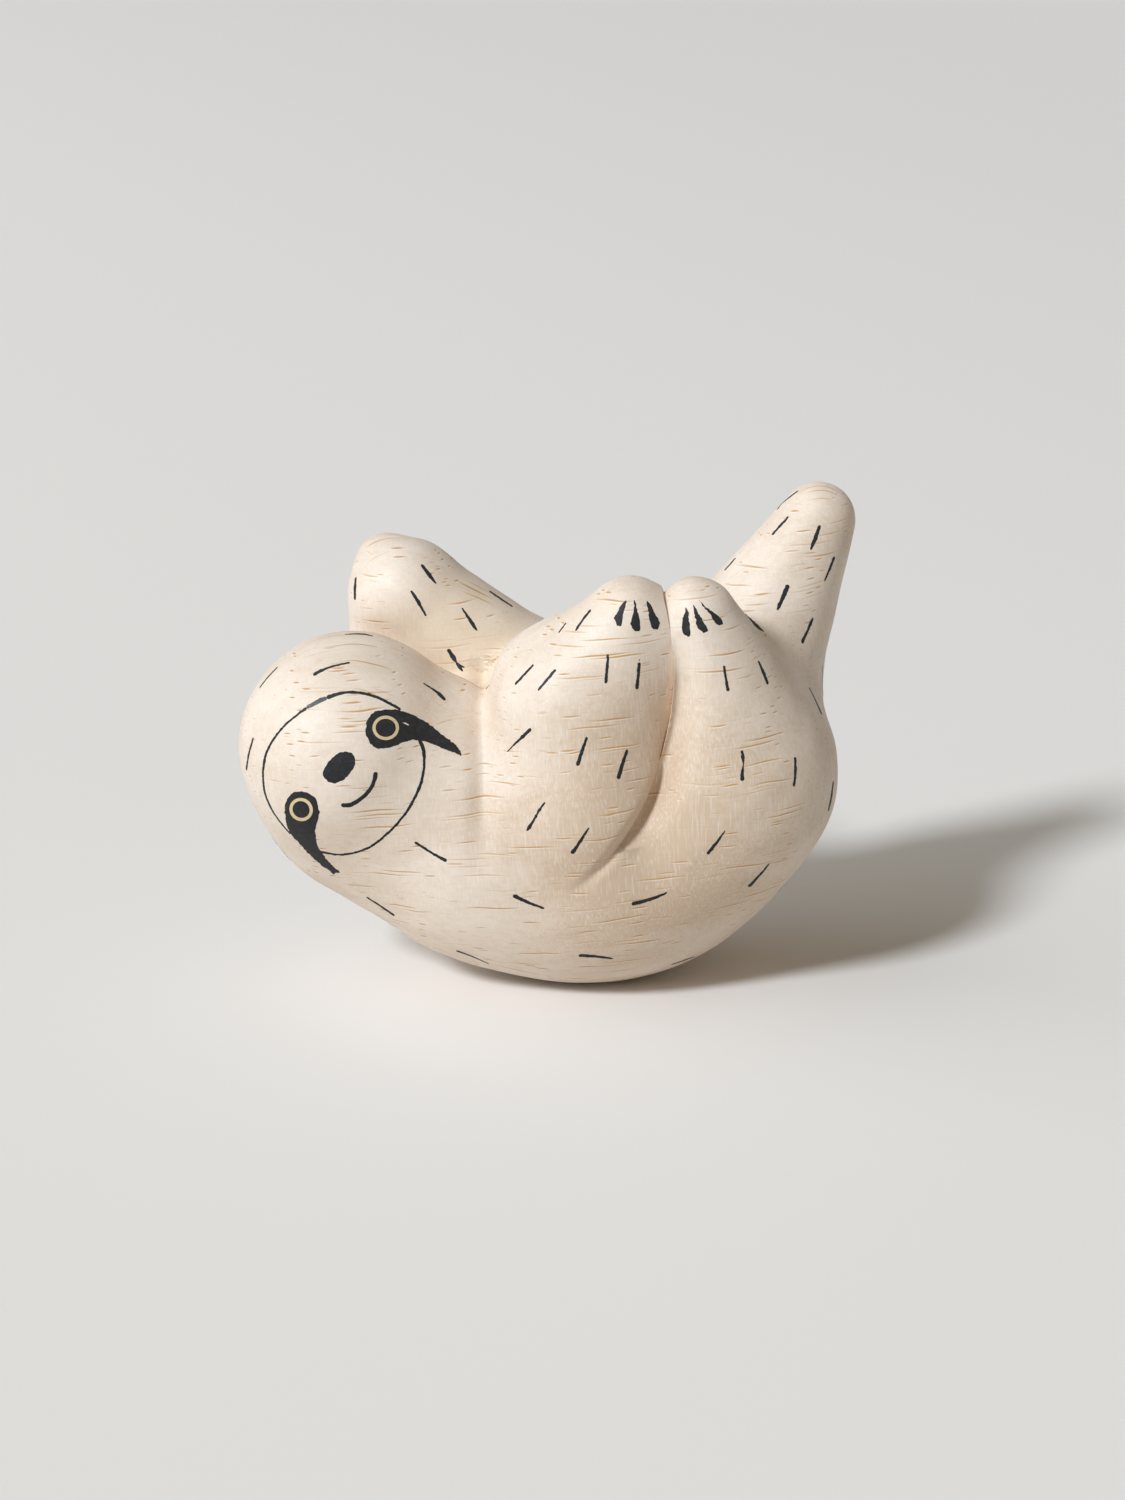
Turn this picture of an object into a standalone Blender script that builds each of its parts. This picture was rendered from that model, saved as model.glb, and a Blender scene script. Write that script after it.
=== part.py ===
"""Carved wooden sloth lying on its back, glued up from six carved blocks on hidden dowels.

Metres, +Z up, -Y towards the viewer who sees the face, +X towards the rump.
The origin is under the middle of the figure, on the surface it lies on.
"""

import bmesh
import bpy
import numpy as np
from mathutils import Matrix, Vector

MM = 0.001

# Body: an egg lying on its back, sanded flat where it rests, with a filled neck
TORSO_CENTRE = (5.0 * MM, 0.0, 20.7 * MM)
TORSO_HALF_LENGTH = 28.1 * MM
TORSO_HALF_DEPTH = 19.8 * MM
TORSO_HALF_HEIGHT = 21.2 * MM
NECK_HEAD_END = (-24.5 * MM, -1.0 * MM, 26.4 * MM)
NECK_BODY_END = (-10.0 * MM, 0.0, 23.6 * MM)
NECK_HEAD_RADIUS = 14.1 * MM
NECK_BODY_RADIUS = 19.4 * MM
NECK_FLATNESS = 0.93

# Head: nearly a ball
HEAD_CENTRE = (-26.4 * MM, -3.5 * MM, 34.4 * MM)
HEAD_RADIUS = 15.7 * MM
NAPE_CENTRE = (-16.0 * MM, -3.0 * MM, 29.0 * MM)
NAPE_RADIUS = 13.5 * MM

# Limbs: cones with ball ends; flatness is the share of the radius left from front to back
NEAR_ARM_ROOT = (4.6 * MM, -8.0 * MM, 28.5 * MM)
NEAR_ARM_SHOULDER = (4.0 * MM, -7.5 * MM, 41.0 * MM)
NEAR_ARM_TIP = (11.1 * MM, -10.5 * MM, 54.5 * MM)
NEAR_ARM_ROOT_RADIUS = 13.7 * MM
NEAR_ARM_SHOULDER_RADIUS = 12.0 * MM
NEAR_ARM_TIP_RADIUS = 5.0 * MM
NEAR_ARM_FLATNESS = 0.95

NEAR_LEG_ROOT = (22.8 * MM, -5.4 * MM, 30.5 * MM)
NEAR_LEG_TIP = (19.6 * MM, -10.5 * MM, 54.3 * MM)
NEAR_LEG_ROOT_RADIUS = 16.8 * MM
NEAR_LEG_TIP_RADIUS = 5.6 * MM
NEAR_LEG_FLATNESS = 0.86

FAR_ARM_ROOT = (-3.5 * MM, 8.0 * MM, 38.5 * MM)
FAR_ARM_TIP = (-22.5 * MM, 12.0 * MM, 56.1 * MM)
FAR_ARM_ROOT_RADIUS = 10.0 * MM
FAR_ARM_ELBOW = (-19.6 * MM, 10.0 * MM, 52.1 * MM)
FAR_ARM_ELBOW_RADIUS = 7.5 * MM
FAR_ARM_TIP_RADIUS = 3.6 * MM
FAR_ARM_HEEL = (-21.0 * MM, 9.5 * MM, 43.5 * MM)
FAR_ARM_HEEL_RADIUS = 7.0 * MM
FAR_SHOULDER = (-3.0 * MM, 5.0 * MM, 29.0 * MM)
FAR_SHOULDER_RADIUS = 15.0 * MM

FAR_LEG_ROOT = (26.0 * MM, 8.0 * MM, 40.5 * MM)
FAR_LEG_TIP = (37.5 * MM, 12.0 * MM, 62.3 * MM)
FAR_LEG_ROOT_RADIUS = 11.7 * MM
FAR_LEG_TIP_RADIUS = 5.2 * MM
FAR_HIP = (22.8 * MM, 5.0 * MM, 31.0 * MM)
FAR_HIP_RADIUS = 15.6 * MM

# Groove between the near arm and the near leg, from its low end up, seen along Y: a curve (x, z)
GROOVE_LOW_END = (5.1 * MM, 20.2 * MM)
GROOVE_LOW_PULL = (15.0 * MM, 30.0 * MM)
GROOVE_HIGH_PULL = (19.5 * MM, 44.0 * MM)
GROOVE_HIGH_END = (15.3 * MM, 58.5 * MM)

# How softly the masses run into each other
BODY_BLEND = 5.0 * MM
LIMB_BLEND = 2.0 * MM
HEAD_BLEND = 4.0 * MM
LEG_BLEND = 6.0 * MM
FAR_BLEND = 6.0 * MM
SEAM_BLEND = 2.0 * MM
SEAM_FADE = 8.0 * MM
ARM_BLEND = 4.0 * MM
GROOVE_BLEND = 1.2 * MM
GROOVE_ARM_EDGE = 2.4 * MM
GROOVE_LEG_EDGE = 3.0 * MM
GROOVE_OVERLAP = 1.0 * MM
GROOVE_FADE = 9.0 * MM
GROOVE_DEPTH = 2.4 * MM
GROOVE_TIP_DEPTH = 0.5 * MM
GROOVE_SHALLOW_FROM = 44.0 * MM
GROOVE_SHALLOW_TO = 54.0 * MM
GROOVE_BACK_Y = -9.0 * MM

CARVING_CELL = 1.9 * MM
CELL_CORNERS = 8
SANDING_PASSES = 8

# Glue-up: the torso is sawn square at the neck and to a roof whose two slopes carry the limbs
GLUE_GAP = 0.3 * MM
NECK_SEAM_X = -8.8 * MM
ROOF_RIDGE_Y = -2.2 * MM
ROOF_RIDGE_Z = 41.5 * MM
FAR_SEAM_X = 10.0 * MM
BEHIND_HEAD_SLOPE = 0.67

# Dowels: one across each glue face, in a blind hole in both blocks
DOWEL_RADIUS = 1.75 * MM
DOWEL_LENGTH = 12.0 * MM
DOWEL_CLEARANCE = 0.3 * MM
HEAD_DOWEL_YZ = (-1.0 * MM, 28.0 * MM)
NEAR_DOWEL_Y = -9.0 * MM
FAR_DOWEL_Y = 8.0 * MM
NEAR_ARM_DOWEL_X = 4.0 * MM
NEAR_LEG_DOWEL_X = 22.0 * MM
FAR_ARM_DOWEL_X = -3.0 * MM
FAR_LEG_DOWEL_X = 24.0 * MM

STOCK = 80.0 * MM
STOCK_LOW = (-48.0 * MM, -26.0 * MM, -4.0 * MM)
STOCK_HIGH = (48.0 * MM, 26.0 * MM, 72.0 * MM)


def clear_scene():
    for old in list(bpy.data.objects):
        bpy.data.objects.remove(old)


def add_object(name, mesh):
    made = bpy.data.objects.new(name, mesh)
    bpy.context.scene.collection.objects.link(made)
    return made


def egg(points, centre, half):
    """Distance outside a ball stretched to its three half sizes."""
    offset = points - np.asarray(centre)
    half = np.asarray(half)
    reach = np.linalg.norm(offset / half, axis=-1)
    slope = np.linalg.norm(offset / half**2, axis=-1)
    return reach * (reach - 1) / np.maximum(slope, 1e-6)


def cone(points, root, tip, root_radius, tip_radius, depth=1.0):
    """Distance outside a cone with ball ends, flattened from front to back."""
    squash = np.array((1.0, 1 / depth, 1.0))
    along = (np.asarray(tip) - root) * squash
    offset = (points - np.asarray(root)) * squash
    length = np.linalg.norm(along)
    along = along / length
    taper = (root_radius - tip_radius) / length
    lean = np.sqrt(max(1 - taper**2, 0.04))
    axial = offset @ along
    radial = np.sqrt(np.maximum((offset**2).sum(-1) - axial**2, 0))
    foot = np.clip(axial - radial * taper / lean, 0, length)
    return (np.hypot(radial, axial - foot) - root_radius + taper * foot) * min(depth, 1.0)


def blend(one, other, reach):
    """Union of two masses, its crease filled over the given reach."""
    share = np.maximum(reach - np.abs(one - other), 0) / reach
    return np.minimum(one, other) - share**2 * reach / 4


def groove_curve():
    """The groove seen along Y, run on past both its ends: points (x, z) from low to high."""
    share = np.linspace(0, 1, 33)[:, None]
    curve = (
        (1 - share) ** 3 * np.array(GROOVE_LOW_END)
        + 3 * (1 - share) ** 2 * share * np.array(GROOVE_LOW_PULL)
        + 3 * (1 - share) * share**2 * np.array(GROOVE_HIGH_PULL)
        + share**3 * np.array(GROOVE_HIGH_END)
    )
    lowest = curve[0] * 11 - curve[1] * 10
    highest = curve[-1] * 11 - curve[-2] * 10
    return np.vstack([lowest, curve, highest])


def groove_offset(points):
    """Distance from the groove's curve along the figure, positive on the leg's side."""
    curve = groove_curve()
    lean = np.gradient(curve[:, 0], curve[:, 1])
    across = points[:, 0] - np.interp(points[:, 2], curve[:, 1], curve[:, 0])
    return across / np.sqrt(1 + np.interp(points[:, 2], curve[:, 1], lean) ** 2)


def figure(points, left_out=None):
    """Distance outside the figure's skin, whole or with one limb or the head still left out."""
    torso_half = (TORSO_HALF_LENGTH, TORSO_HALF_DEPTH, TORSO_HALF_HEIGHT)
    body = egg(points, TORSO_CENTRE, torso_half)
    neck = cone(points, NECK_BODY_END, NECK_HEAD_END, NECK_BODY_RADIUS, NECK_HEAD_RADIUS, NECK_FLATNESS)
    body = blend(body, neck, BODY_BLEND)
    if left_out != "head":
        head = egg(points, HEAD_CENTRE, (HEAD_RADIUS, HEAD_RADIUS, HEAD_RADIUS))
        nape = egg(points, NAPE_CENTRE, (NAPE_RADIUS, NAPE_RADIUS, NAPE_RADIUS))
        body = blend(body, blend(head, nape, HEAD_BLEND), HEAD_BLEND)
    side = groove_offset(points)
    tips = np.clip((points[:, 2] - GROOVE_SHALLOW_FROM) / (GROOVE_SHALLOW_TO - GROOVE_SHALLOW_FROM), 0, 1)
    depth = GROOVE_DEPTH + (GROOVE_TIP_DEPTH - GROOVE_DEPTH) * tips
    if left_out != "near_leg":
        leg = cone(
            points, NEAR_LEG_ROOT, NEAR_LEG_TIP, NEAR_LEG_ROOT_RADIUS, NEAR_LEG_TIP_RADIUS, NEAR_LEG_FLATNESS
        )
        leg = blend(-blend(-leg, side, GROOVE_LEG_EDGE), leg + depth, GROOVE_BLEND)
        fade = np.clip(side / GROOVE_FADE, 0, 1)
        body = blend(body, leg, GROOVE_BLEND + (LEG_BLEND - GROOVE_BLEND) * fade)
    if left_out != "far_arm":
        upper = cone(points, FAR_ARM_ELBOW, FAR_ARM_TIP, FAR_ARM_ELBOW_RADIUS, FAR_ARM_TIP_RADIUS)
        lower = cone(points, FAR_ARM_ROOT, FAR_ARM_ELBOW, FAR_ARM_ROOT_RADIUS, FAR_ARM_ELBOW_RADIUS)
        heel = cone(points, FAR_ARM_HEEL, FAR_ARM_TIP, FAR_ARM_HEEL_RADIUS, FAR_ARM_TIP_RADIUS)
        shoulder = cone(points, FAR_SHOULDER, FAR_ARM_ROOT, FAR_SHOULDER_RADIUS, FAR_ARM_ROOT_RADIUS)
        far_arm = blend(blend(upper, lower, LIMB_BLEND), heel, LIMB_BLEND)
        far_arm = blend(far_arm, shoulder, LIMB_BLEND)
        fade = np.clip((points[:, 0] - NECK_SEAM_X) / SEAM_FADE, 0, 1)
        body = blend(body, far_arm, SEAM_BLEND + (FAR_BLEND - SEAM_BLEND) * fade)
    hip = cone(points, FAR_HIP, FAR_LEG_ROOT, FAR_HIP_RADIUS, FAR_LEG_ROOT_RADIUS)
    far_leg = cone(points, FAR_LEG_ROOT, FAR_LEG_TIP, FAR_LEG_ROOT_RADIUS, FAR_LEG_TIP_RADIUS)
    body = blend(body, blend(hip, far_leg, LIMB_BLEND), FAR_BLEND)
    if left_out == "near_arm":
        return body
    radii = (NEAR_ARM_ROOT_RADIUS, NEAR_ARM_SHOULDER_RADIUS, NEAR_ARM_TIP_RADIUS)
    upper = cone(points, NEAR_ARM_SHOULDER, NEAR_ARM_TIP, radii[1], radii[2], NEAR_ARM_FLATNESS)
    lower = cone(points, NEAR_ARM_ROOT, NEAR_ARM_TIP, radii[0], radii[2], NEAR_ARM_FLATNESS)
    flank = cone(points, NEAR_ARM_ROOT, NEAR_ARM_SHOULDER, radii[0], radii[1], NEAR_ARM_FLATNESS)
    arm = blend(blend(upper, lower, LIMB_BLEND), flank, LIMB_BLEND)
    arm = blend(-blend(-arm, GROOVE_OVERLAP - side, GROOVE_ARM_EDGE), arm + depth, GROOVE_BLEND)
    fade = np.clip(np.maximum(-side, (points[:, 1] - GROOVE_BACK_Y) * 2) / GROOVE_FADE, 0, 1)
    return blend(body, arm, GROOVE_BLEND + (ARM_BLEND - GROOVE_BLEND) * fade)


def settle(points, field, stride):
    """Moves points along the field's slope towards its skin, no further than the stride each time."""
    nudge = 0.02 * MM
    for _ in range(3):
        slope = np.stack(
            [(field(points + step) - field(points - step)) / (2 * nudge) for step in np.eye(3) * nudge],
            axis=-1,
        )
        steep = np.maximum((slope**2).sum(-1, keepdims=True), 0.05)
        shift = field(points)[:, None] * slope / steep
        distance = np.linalg.norm(shift, axis=-1, keepdims=True)
        points = points - shift * np.minimum(1, stride / np.maximum(distance, 1e-9))
    return points


def filled(inside):
    """The grid of inside points, filled where the skin would touch itself along an edge or at a corner."""
    reach = {(i, j, k) for i in (0, 1) for j in (0, 1) for k in (0, 1)}
    pairs = [((1, 0, 0), (0, 1, 0)), ((0, 1, 0), (0, 0, 1)), ((1, 0, 0), (0, 0, 1))]
    flat = [((0, 0, 0), one, other, tuple(np.add(one, other))) for one, other in pairs]
    while True:
        at = {step: np.roll(inside, tuple(-n for n in step), (0, 1, 2)) for step in reach}
        count = sum(at[step].astype(int) for step in reach)
        fill = np.zeros_like(inside)
        for base, one, other, both in flat:
            touch = (at[base] == at[both]) & (at[one] == at[other]) & (at[base] != at[one])
            for step in (base, one, other, both):
                fill |= np.roll(touch, step, (0, 1, 2))
        for step in ((0, 0, 0), (1, 0, 0), (0, 1, 0), (0, 0, 1)):
            across = tuple(1 - n for n in step)
            touch = (at[step] == at[across]) & (count == np.where(at[step], 2, 6))
            for corner in reach:
                fill |= np.roll(touch, corner, (0, 1, 2))
        if not (fill & ~inside).any():
            return inside
        inside = inside | fill


def skin_of(field, low, high, cell):
    """A closed mesh of triangles on the skin of a distance field: its points and its faces."""
    counts = [int(np.ceil((b - a) / cell)) + 1 for a, b in zip(low, high)]
    axes = [a + np.arange(count) * cell for a, count in zip(low, counts)]
    grid = np.stack(np.meshgrid(*axes, indexing="ij"), axis=-1)
    inside = filled((field(grid.reshape(-1, 3)) < 0).reshape(counts))
    corners = sum(
        inside[i : counts[0] - 1 + i, j : counts[1] - 1 + j, k : counts[2] - 1 + k].astype(int)
        for i in (0, 1)
        for j in (0, 1)
        for k in (0, 1)
    )
    crossed = (corners > 0) & (corners < CELL_CORNERS)
    number = np.cumsum(crossed).reshape(crossed.shape) - 1
    points = grid[:-1, :-1, :-1][crossed] + cell / 2
    faces = []
    for axis in range(3):
        ahead = np.roll(inside, -1, axis)
        here = np.argwhere(inside != ahead)
        here = here[(here.min(axis=1) > 0) & (here[:, axis] < counts[axis] - 1)]
        one, other = np.eye(3, dtype=int)[(axis + 1) % 3], np.eye(3, dtype=int)[(axis + 2) % 3]
        quad = [here, here - one, here - one - other, here - other]
        quad = np.stack([number[tuple(cell_at.T)] for cell_at in quad], axis=-1)
        leaving = inside[tuple(here.T)]
        faces += [quad[leaving], quad[~leaving][:, ::-1]]
    faces = np.concatenate(faces)
    ends = np.concatenate([faces[:, [0, 1]], faces[:, [1, 2]], faces[:, [2, 3]], faces[:, [3, 0]]])
    ends = np.concatenate([ends, ends[:, ::-1]])
    degree = np.bincount(ends[:, 0], minlength=len(points))[:, None]
    for _ in range(SANDING_PASSES):
        total = np.stack(
            [np.bincount(ends[:, 0], points[ends[:, 1], k], len(points)) for k in range(3)], axis=-1
        )
        points = settle((points + total / degree) / 2, field, cell / 4)
    # Each square is folded along the diagonal that lies closer to the skin
    folds = [np.abs(field(points[faces[:, ends]].mean(axis=1))) for ends in ([0, 2], [1, 3])]
    faces = np.where((folds[1] < folds[0])[:, None], np.roll(faces, 1, axis=1), faces)
    return points, np.concatenate([faces[:, [0, 1, 2]], faces[:, [0, 2, 3]]])


def add_solid(name, mesh):
    data = bpy.data.meshes.new(name)
    bmesh.ops.recalc_face_normals(mesh, faces=mesh.faces)
    mesh.to_mesh(data)
    mesh.free()
    return add_object(name, data)


def add_cutter(name, mesh):
    cutter = add_solid(name, mesh)
    cutter.hide_render = True
    cutter.display_type = "WIRE"
    return cutter


def sawn_block(name, planes, outline=None):
    """A helper solid: stock standing on the floor, sawn back by planes (point, direction kept).

    The outline, points (x, z), is sawn along Y out of the stock first.
    """
    if outline is None:
        outline = [(-STOCK, 0.0), (STOCK, 0.0), (STOCK, STOCK), (-STOCK, STOCK)]
    mesh = bmesh.new()
    near = [mesh.verts.new((x, -STOCK, z)) for x, z in outline]
    far = [mesh.verts.new((x, STOCK, z)) for x, z in outline]
    mesh.faces.new(near)
    mesh.faces.new(far[::-1])
    for index in range(len(outline)):
        after = (index + 1) % len(outline)
        mesh.faces.new((near[index], far[index], far[after], near[after]))
    for point, kept in planes:
        kept = Vector(kept).normalized()
        cut_edges = bmesh.ops.bisect_plane(
            mesh,
            geom=list(mesh.verts) + list(mesh.edges) + list(mesh.faces),
            plane_co=Vector(point) + kept * GLUE_GAP / 2,
            plane_no=kept,
            clear_inner=True,
        )["geom_cut"]
        rim = [edge for edge in cut_edges if isinstance(edge, bmesh.types.BMEdge)]
        bmesh.ops.contextual_create(mesh, geom=rim)
    return add_cutter(name, mesh)


def groove_outline(side):
    """The stock on one side of the groove (-1 arm, 1 leg), half a glue line away from it."""
    curve = groove_curve()
    lean = np.gradient(curve[:, 0], curve[:, 1])
    edge = curve[:, 0] + side * GLUE_GAP / 2 * np.sqrt(1 + lean**2)
    edge = [(float(x), float(z)) for x, z in zip(edge, curve[:, 1])]
    return [(side * STOCK, edge[0][1]), *edge, (side * STOCK, edge[-1][1])]


def rod(mesh, centre, along, radius, length):
    """Adds a round rod to a mesh."""
    turn = Vector(along).to_track_quat("Z", "Y").to_matrix().to_4x4()
    place = Matrix.Translation(centre) @ turn
    bmesh.ops.create_cone(
        mesh, cap_ends=True, segments=24, radius1=radius, radius2=radius, depth=length, matrix=place
    )


def cut(block, cutter, operation):
    step = block.modifiers.new(cutter.name, "BOOLEAN")
    step.operation = operation
    step.solver = "EXACT"
    step.object = cutter


def wood(name, colour, roughness):
    material = bpy.data.materials.new(name)
    material.use_nodes = True
    surface = material.node_tree.nodes["Principled BSDF"]
    surface.inputs["Base Color"].default_value = (*colour, 1.0)
    surface.inputs["Roughness"].default_value = roughness
    surface.inputs["Metallic"].default_value = 0.0
    return material


def carving(left_out):
    """The figure's skin as a mesh, one limb or the head left out."""
    points, faces = skin_of(lambda at: figure(at, left_out), STOCK_LOW, STOCK_HIGH, CARVING_CELL)
    mesh = bpy.data.meshes.new("carving")
    mesh.from_pydata(points.tolist(), [], faces.tolist())
    mesh.update()
    return mesh


clear_scene()
WHITEWASHED_WOOD = wood("whitewashed_wood", colour=(0.76, 0.66, 0.56), roughness=0.5)
HARDWOOD = wood("hardwood", colour=(0.55, 0.34, 0.17), roughness=0.6)

neck = (NECK_SEAM_X, 0, 0)
ridge = (NECK_SEAM_X, ROOF_RIDGE_Y, ROOF_RIDGE_Z)
hips = (FAR_SEAM_X, 0, 0)
near_limb = [(ridge, (0, -1, 1)), (ridge, (0, -1, 0))]
far_limb = [(ridge, (0, 1, 1)), (ridge, (0, 1, 0))]
# Each block: the mass left out of its carving, its saw cuts, and its outline seen along Y
BLOCKS = {
    "torso": (None, [(neck, (1, 0, 0)), (ridge, (0, 1, -1)), (ridge, (0, -1, -1))], None),
    "head": ("far_arm", [(neck, (-1, 0, 0)), (ridge, (-BEHIND_HEAD_SLOPE, -1, -1))], None),
    "near_arm": ("near_leg", [*near_limb, (neck, (1, 0, 0))], groove_outline(-1)),
    "near_leg": ("near_arm", near_limb, groove_outline(1)),
    "far_arm": (
        "head", [*far_limb, (hips, (-1, 0, 0)), (ridge, (BEHIND_HEAD_SLOPE, 1, 1))], None
    ),
    "far_leg": (None, [*far_limb, (hips, (1, 0, 0))], None),
}
for name, (left_out, planes, outline) in BLOCKS.items():
    block = add_object(name, carving(left_out))
    block.data.materials.append(WHITEWASHED_WOOD)
    cut(block, sawn_block(name + "_stock", planes, outline), "INTERSECT")

near_drop = ROOF_RIDGE_Y - NEAR_DOWEL_Y
far_drop = FAR_DOWEL_Y - ROOF_RIDGE_Y
DOWELS = {
    "head": ((NECK_SEAM_X, *HEAD_DOWEL_YZ), (1, 0, 0)),
    "near_arm": ((NEAR_ARM_DOWEL_X, NEAR_DOWEL_Y, ROOF_RIDGE_Z - near_drop), (0, -1, 1)),
    "near_leg": ((NEAR_LEG_DOWEL_X, NEAR_DOWEL_Y, ROOF_RIDGE_Z - near_drop), (0, -1, 1)),
    "far_arm": ((FAR_ARM_DOWEL_X, FAR_DOWEL_Y, ROOF_RIDGE_Z - far_drop), (0, 1, 1)),
    "far_leg": ((FAR_LEG_DOWEL_X, FAR_DOWEL_Y, ROOF_RIDGE_Z - far_drop), (0, 1, 1)),
}
torso_holes = bmesh.new()
for name, (centre, along) in DOWELS.items():
    dowel = bmesh.new()
    rod(dowel, centre, along, DOWEL_RADIUS, DOWEL_LENGTH)
    add_solid("dowel_" + name, dowel).data.materials.append(HARDWOOD)
    hole = bmesh.new()
    hole_size = (DOWEL_RADIUS + DOWEL_CLEARANCE, DOWEL_LENGTH + 2 * DOWEL_CLEARANCE)
    rod(hole, centre, along, *hole_size)
    rod(torso_holes, centre, along, *hole_size)
    cut(bpy.data.objects[name], add_cutter(name + "_hole", hole), "DIFFERENCE")
cut(bpy.data.objects["torso"], add_cutter("torso_holes", torso_holes), "DIFFERENCE")
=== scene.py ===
"""Looks of a carved wooden sloth that lies on its back: sanded, whitewashed blocks with painted marks.

Metres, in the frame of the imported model. Nothing moves on it, so every piece rides on the body "root".
"""

import math

import bmesh
import bpy
import numpy as np
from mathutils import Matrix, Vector
from mathutils.bvhtree import BVHTree
from mathutils.geometry import delaunay_2d_cdt


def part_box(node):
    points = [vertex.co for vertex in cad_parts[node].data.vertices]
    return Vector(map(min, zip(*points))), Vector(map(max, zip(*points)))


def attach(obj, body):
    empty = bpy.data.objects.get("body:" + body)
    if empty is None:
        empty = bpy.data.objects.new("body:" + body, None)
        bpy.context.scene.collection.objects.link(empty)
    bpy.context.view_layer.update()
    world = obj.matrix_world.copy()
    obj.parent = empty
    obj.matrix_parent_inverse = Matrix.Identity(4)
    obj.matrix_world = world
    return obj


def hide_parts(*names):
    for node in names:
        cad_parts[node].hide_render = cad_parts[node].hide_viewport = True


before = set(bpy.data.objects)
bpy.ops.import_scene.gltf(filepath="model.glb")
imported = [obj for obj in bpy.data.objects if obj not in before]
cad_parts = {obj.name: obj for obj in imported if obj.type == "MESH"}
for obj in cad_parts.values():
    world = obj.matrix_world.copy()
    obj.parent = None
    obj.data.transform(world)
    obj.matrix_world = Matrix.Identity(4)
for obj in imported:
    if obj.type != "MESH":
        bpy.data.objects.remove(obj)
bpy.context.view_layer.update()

# The viewpoint of the photograph: a long lens square to the figure's length, 18 degrees above the table.
# The marks painted on the side that it sees are placed by lines of sight through the photograph's pixels.
MM = 0.001
PHOTO_WIDTH, PHOTO_HEIGHT = 1125, 1500
LENS, FILM_HEIGHT = 85.0, 36.0
VIEW_RISE = math.radians(18)
VIEW_TARGET = np.array((2.1, 0.0, 32.6)) * MM
VIEW_DISTANCE = 488.5 * MM
PIXEL = FILM_HEIGHT / LENS / PHOTO_HEIGHT
toward_camera = np.array((0.0, -math.cos(VIEW_RISE), math.sin(VIEW_RISE)))
picture_up = np.array((0.0, math.sin(VIEW_RISE), math.cos(VIEW_RISE)))
eye = VIEW_TARGET + toward_camera * VIEW_DISTANCE


def mm(*sizes):
    return tuple(size * MM for size in sizes)


def add_object(name, data):
    made = bpy.data.objects.new(name, data)
    bpy.context.scene.collection.objects.link(made)
    return made


camera = add_object("camera", bpy.data.cameras.new("camera"))
bpy.context.scene.camera = camera
camera.data.lens = LENS
camera.data.sensor_width = FILM_HEIGHT
camera.data.clip_start = 10 * MM
camera.location = eye
camera.rotation_euler = Vector(toward_camera).to_track_quat("Z", "Y").to_euler()


# The six carved blocks: torso, head and four limbs of light, open-pored wood, glued up and then whittled
# and sanded as one figure. The glue lines vanish under the whitewash, except where a limb meets the head
# or the other near limb in a crease. The masses are eggs and cones with ball ends that run together. A
# cone's values are its root, its tip, their radii and, where it is flattened, its depth as a share.
TORSO_CENTRE = mm(5.0, 0.0, 20.7)
TORSO_HALF_SIZE = mm(28.1, 19.8, 21.2)
NECK = (mm(-10.0, 0.0, 23.6), mm(-24.5, -1.0, 26.4), 19.4 * MM, 14.1 * MM, 0.93)
HEAD_CENTRE = mm(-26.4, -3.5, 34.4)
HEAD_RADIUS = 15.7 * MM
NAPE_CENTRE = mm(-16.0, -3.0, 29.0)
NAPE_RADIUS = 13.5 * MM

NEAR_ARM_ROOT = mm(4.6, -8.0, 28.5)
NEAR_ARM_SHOULDER = mm(4.0, -7.5, 41.0)
NEAR_ARM_TIP = mm(11.1, -10.5, 54.5)
NEAR_ARM_RADII = mm(13.7, 12.0, 5.0)
NEAR_ARM_FLATNESS = 0.95
BETWEEN_LIMBS = (mm(14.5, -7.0, 36.0), mm(16.0, -9.5, 52.5), 5.6 * MM, 4.3 * MM)
NEAR_LEG = (mm(22.8, -5.4, 30.5), mm(19.6, -10.5, 54.3), 16.8 * MM, 5.6 * MM, 0.86)

FAR_SHOULDER = mm(-3.0, 5.0, 29.0)
FAR_ARM_ROOT = mm(-3.5, 8.0, 38.5)
FAR_ARM_ELBOW = mm(-19.6, 10.0, 52.1)
FAR_ARM_HEEL = mm(-21.0, 9.5, 43.5)
FAR_ARM_TIP = mm(-22.5, 12.0, 56.1)
FAR_ARM_RADII = mm(15.0, 10.0, 7.5, 7.0, 3.6)
FAR_HIP = mm(22.8, 5.0, 31.0)
FAR_LEG_ROOT = mm(26.0, 8.0, 40.5)
FAR_LEG_TIP = mm(37.5, 12.0, 62.3)
FAR_LEG_RADII = mm(15.6, 11.7, 5.2)

NECK_BLEND = 5.0 * MM
HEAD_BLEND = 4.0 * MM
LIMB_BLEND = 2.0 * MM
ROOT_BLEND = 6.0 * MM
NEAR_ARM_BLEND = 3.2 * MM

# The groove between the near limbs, as the pulls (x, z) of its curve. It gets shallow towards the tips, a
# dip in the leg lies beside it, and a shallow valley sets off the chin. The dip and the groove's low end
# have the heights where they start, are full, start to fade and end.
GROOVE_PULLS = np.array(((5.1, 20.2), (15.0, 30.0), (19.5, 44.0), (15.3, 58.5))) * MM
GROOVE_POINTS = 33
GROOVE_RUN_ON = 10
GROOVE_BLEND = 1.7 * MM
GROOVE_TIP_BLEND = 3.6 * MM
GROOVE_ARM_EDGE = 2.4 * MM
GROOVE_LEG_EDGE = 5.0 * MM
GROOVE_OVERLAP = 1.0 * MM
GROOVE_FADE = 9.0 * MM
GROOVE_BACK_Y = -9.0 * MM
GROOVE_BACK_FADE = GROOVE_FADE / 2
GROOVE_DEPTH = 1.7 * MM
GROOVE_TIP_DEPTH = 0.5 * MM
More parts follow.
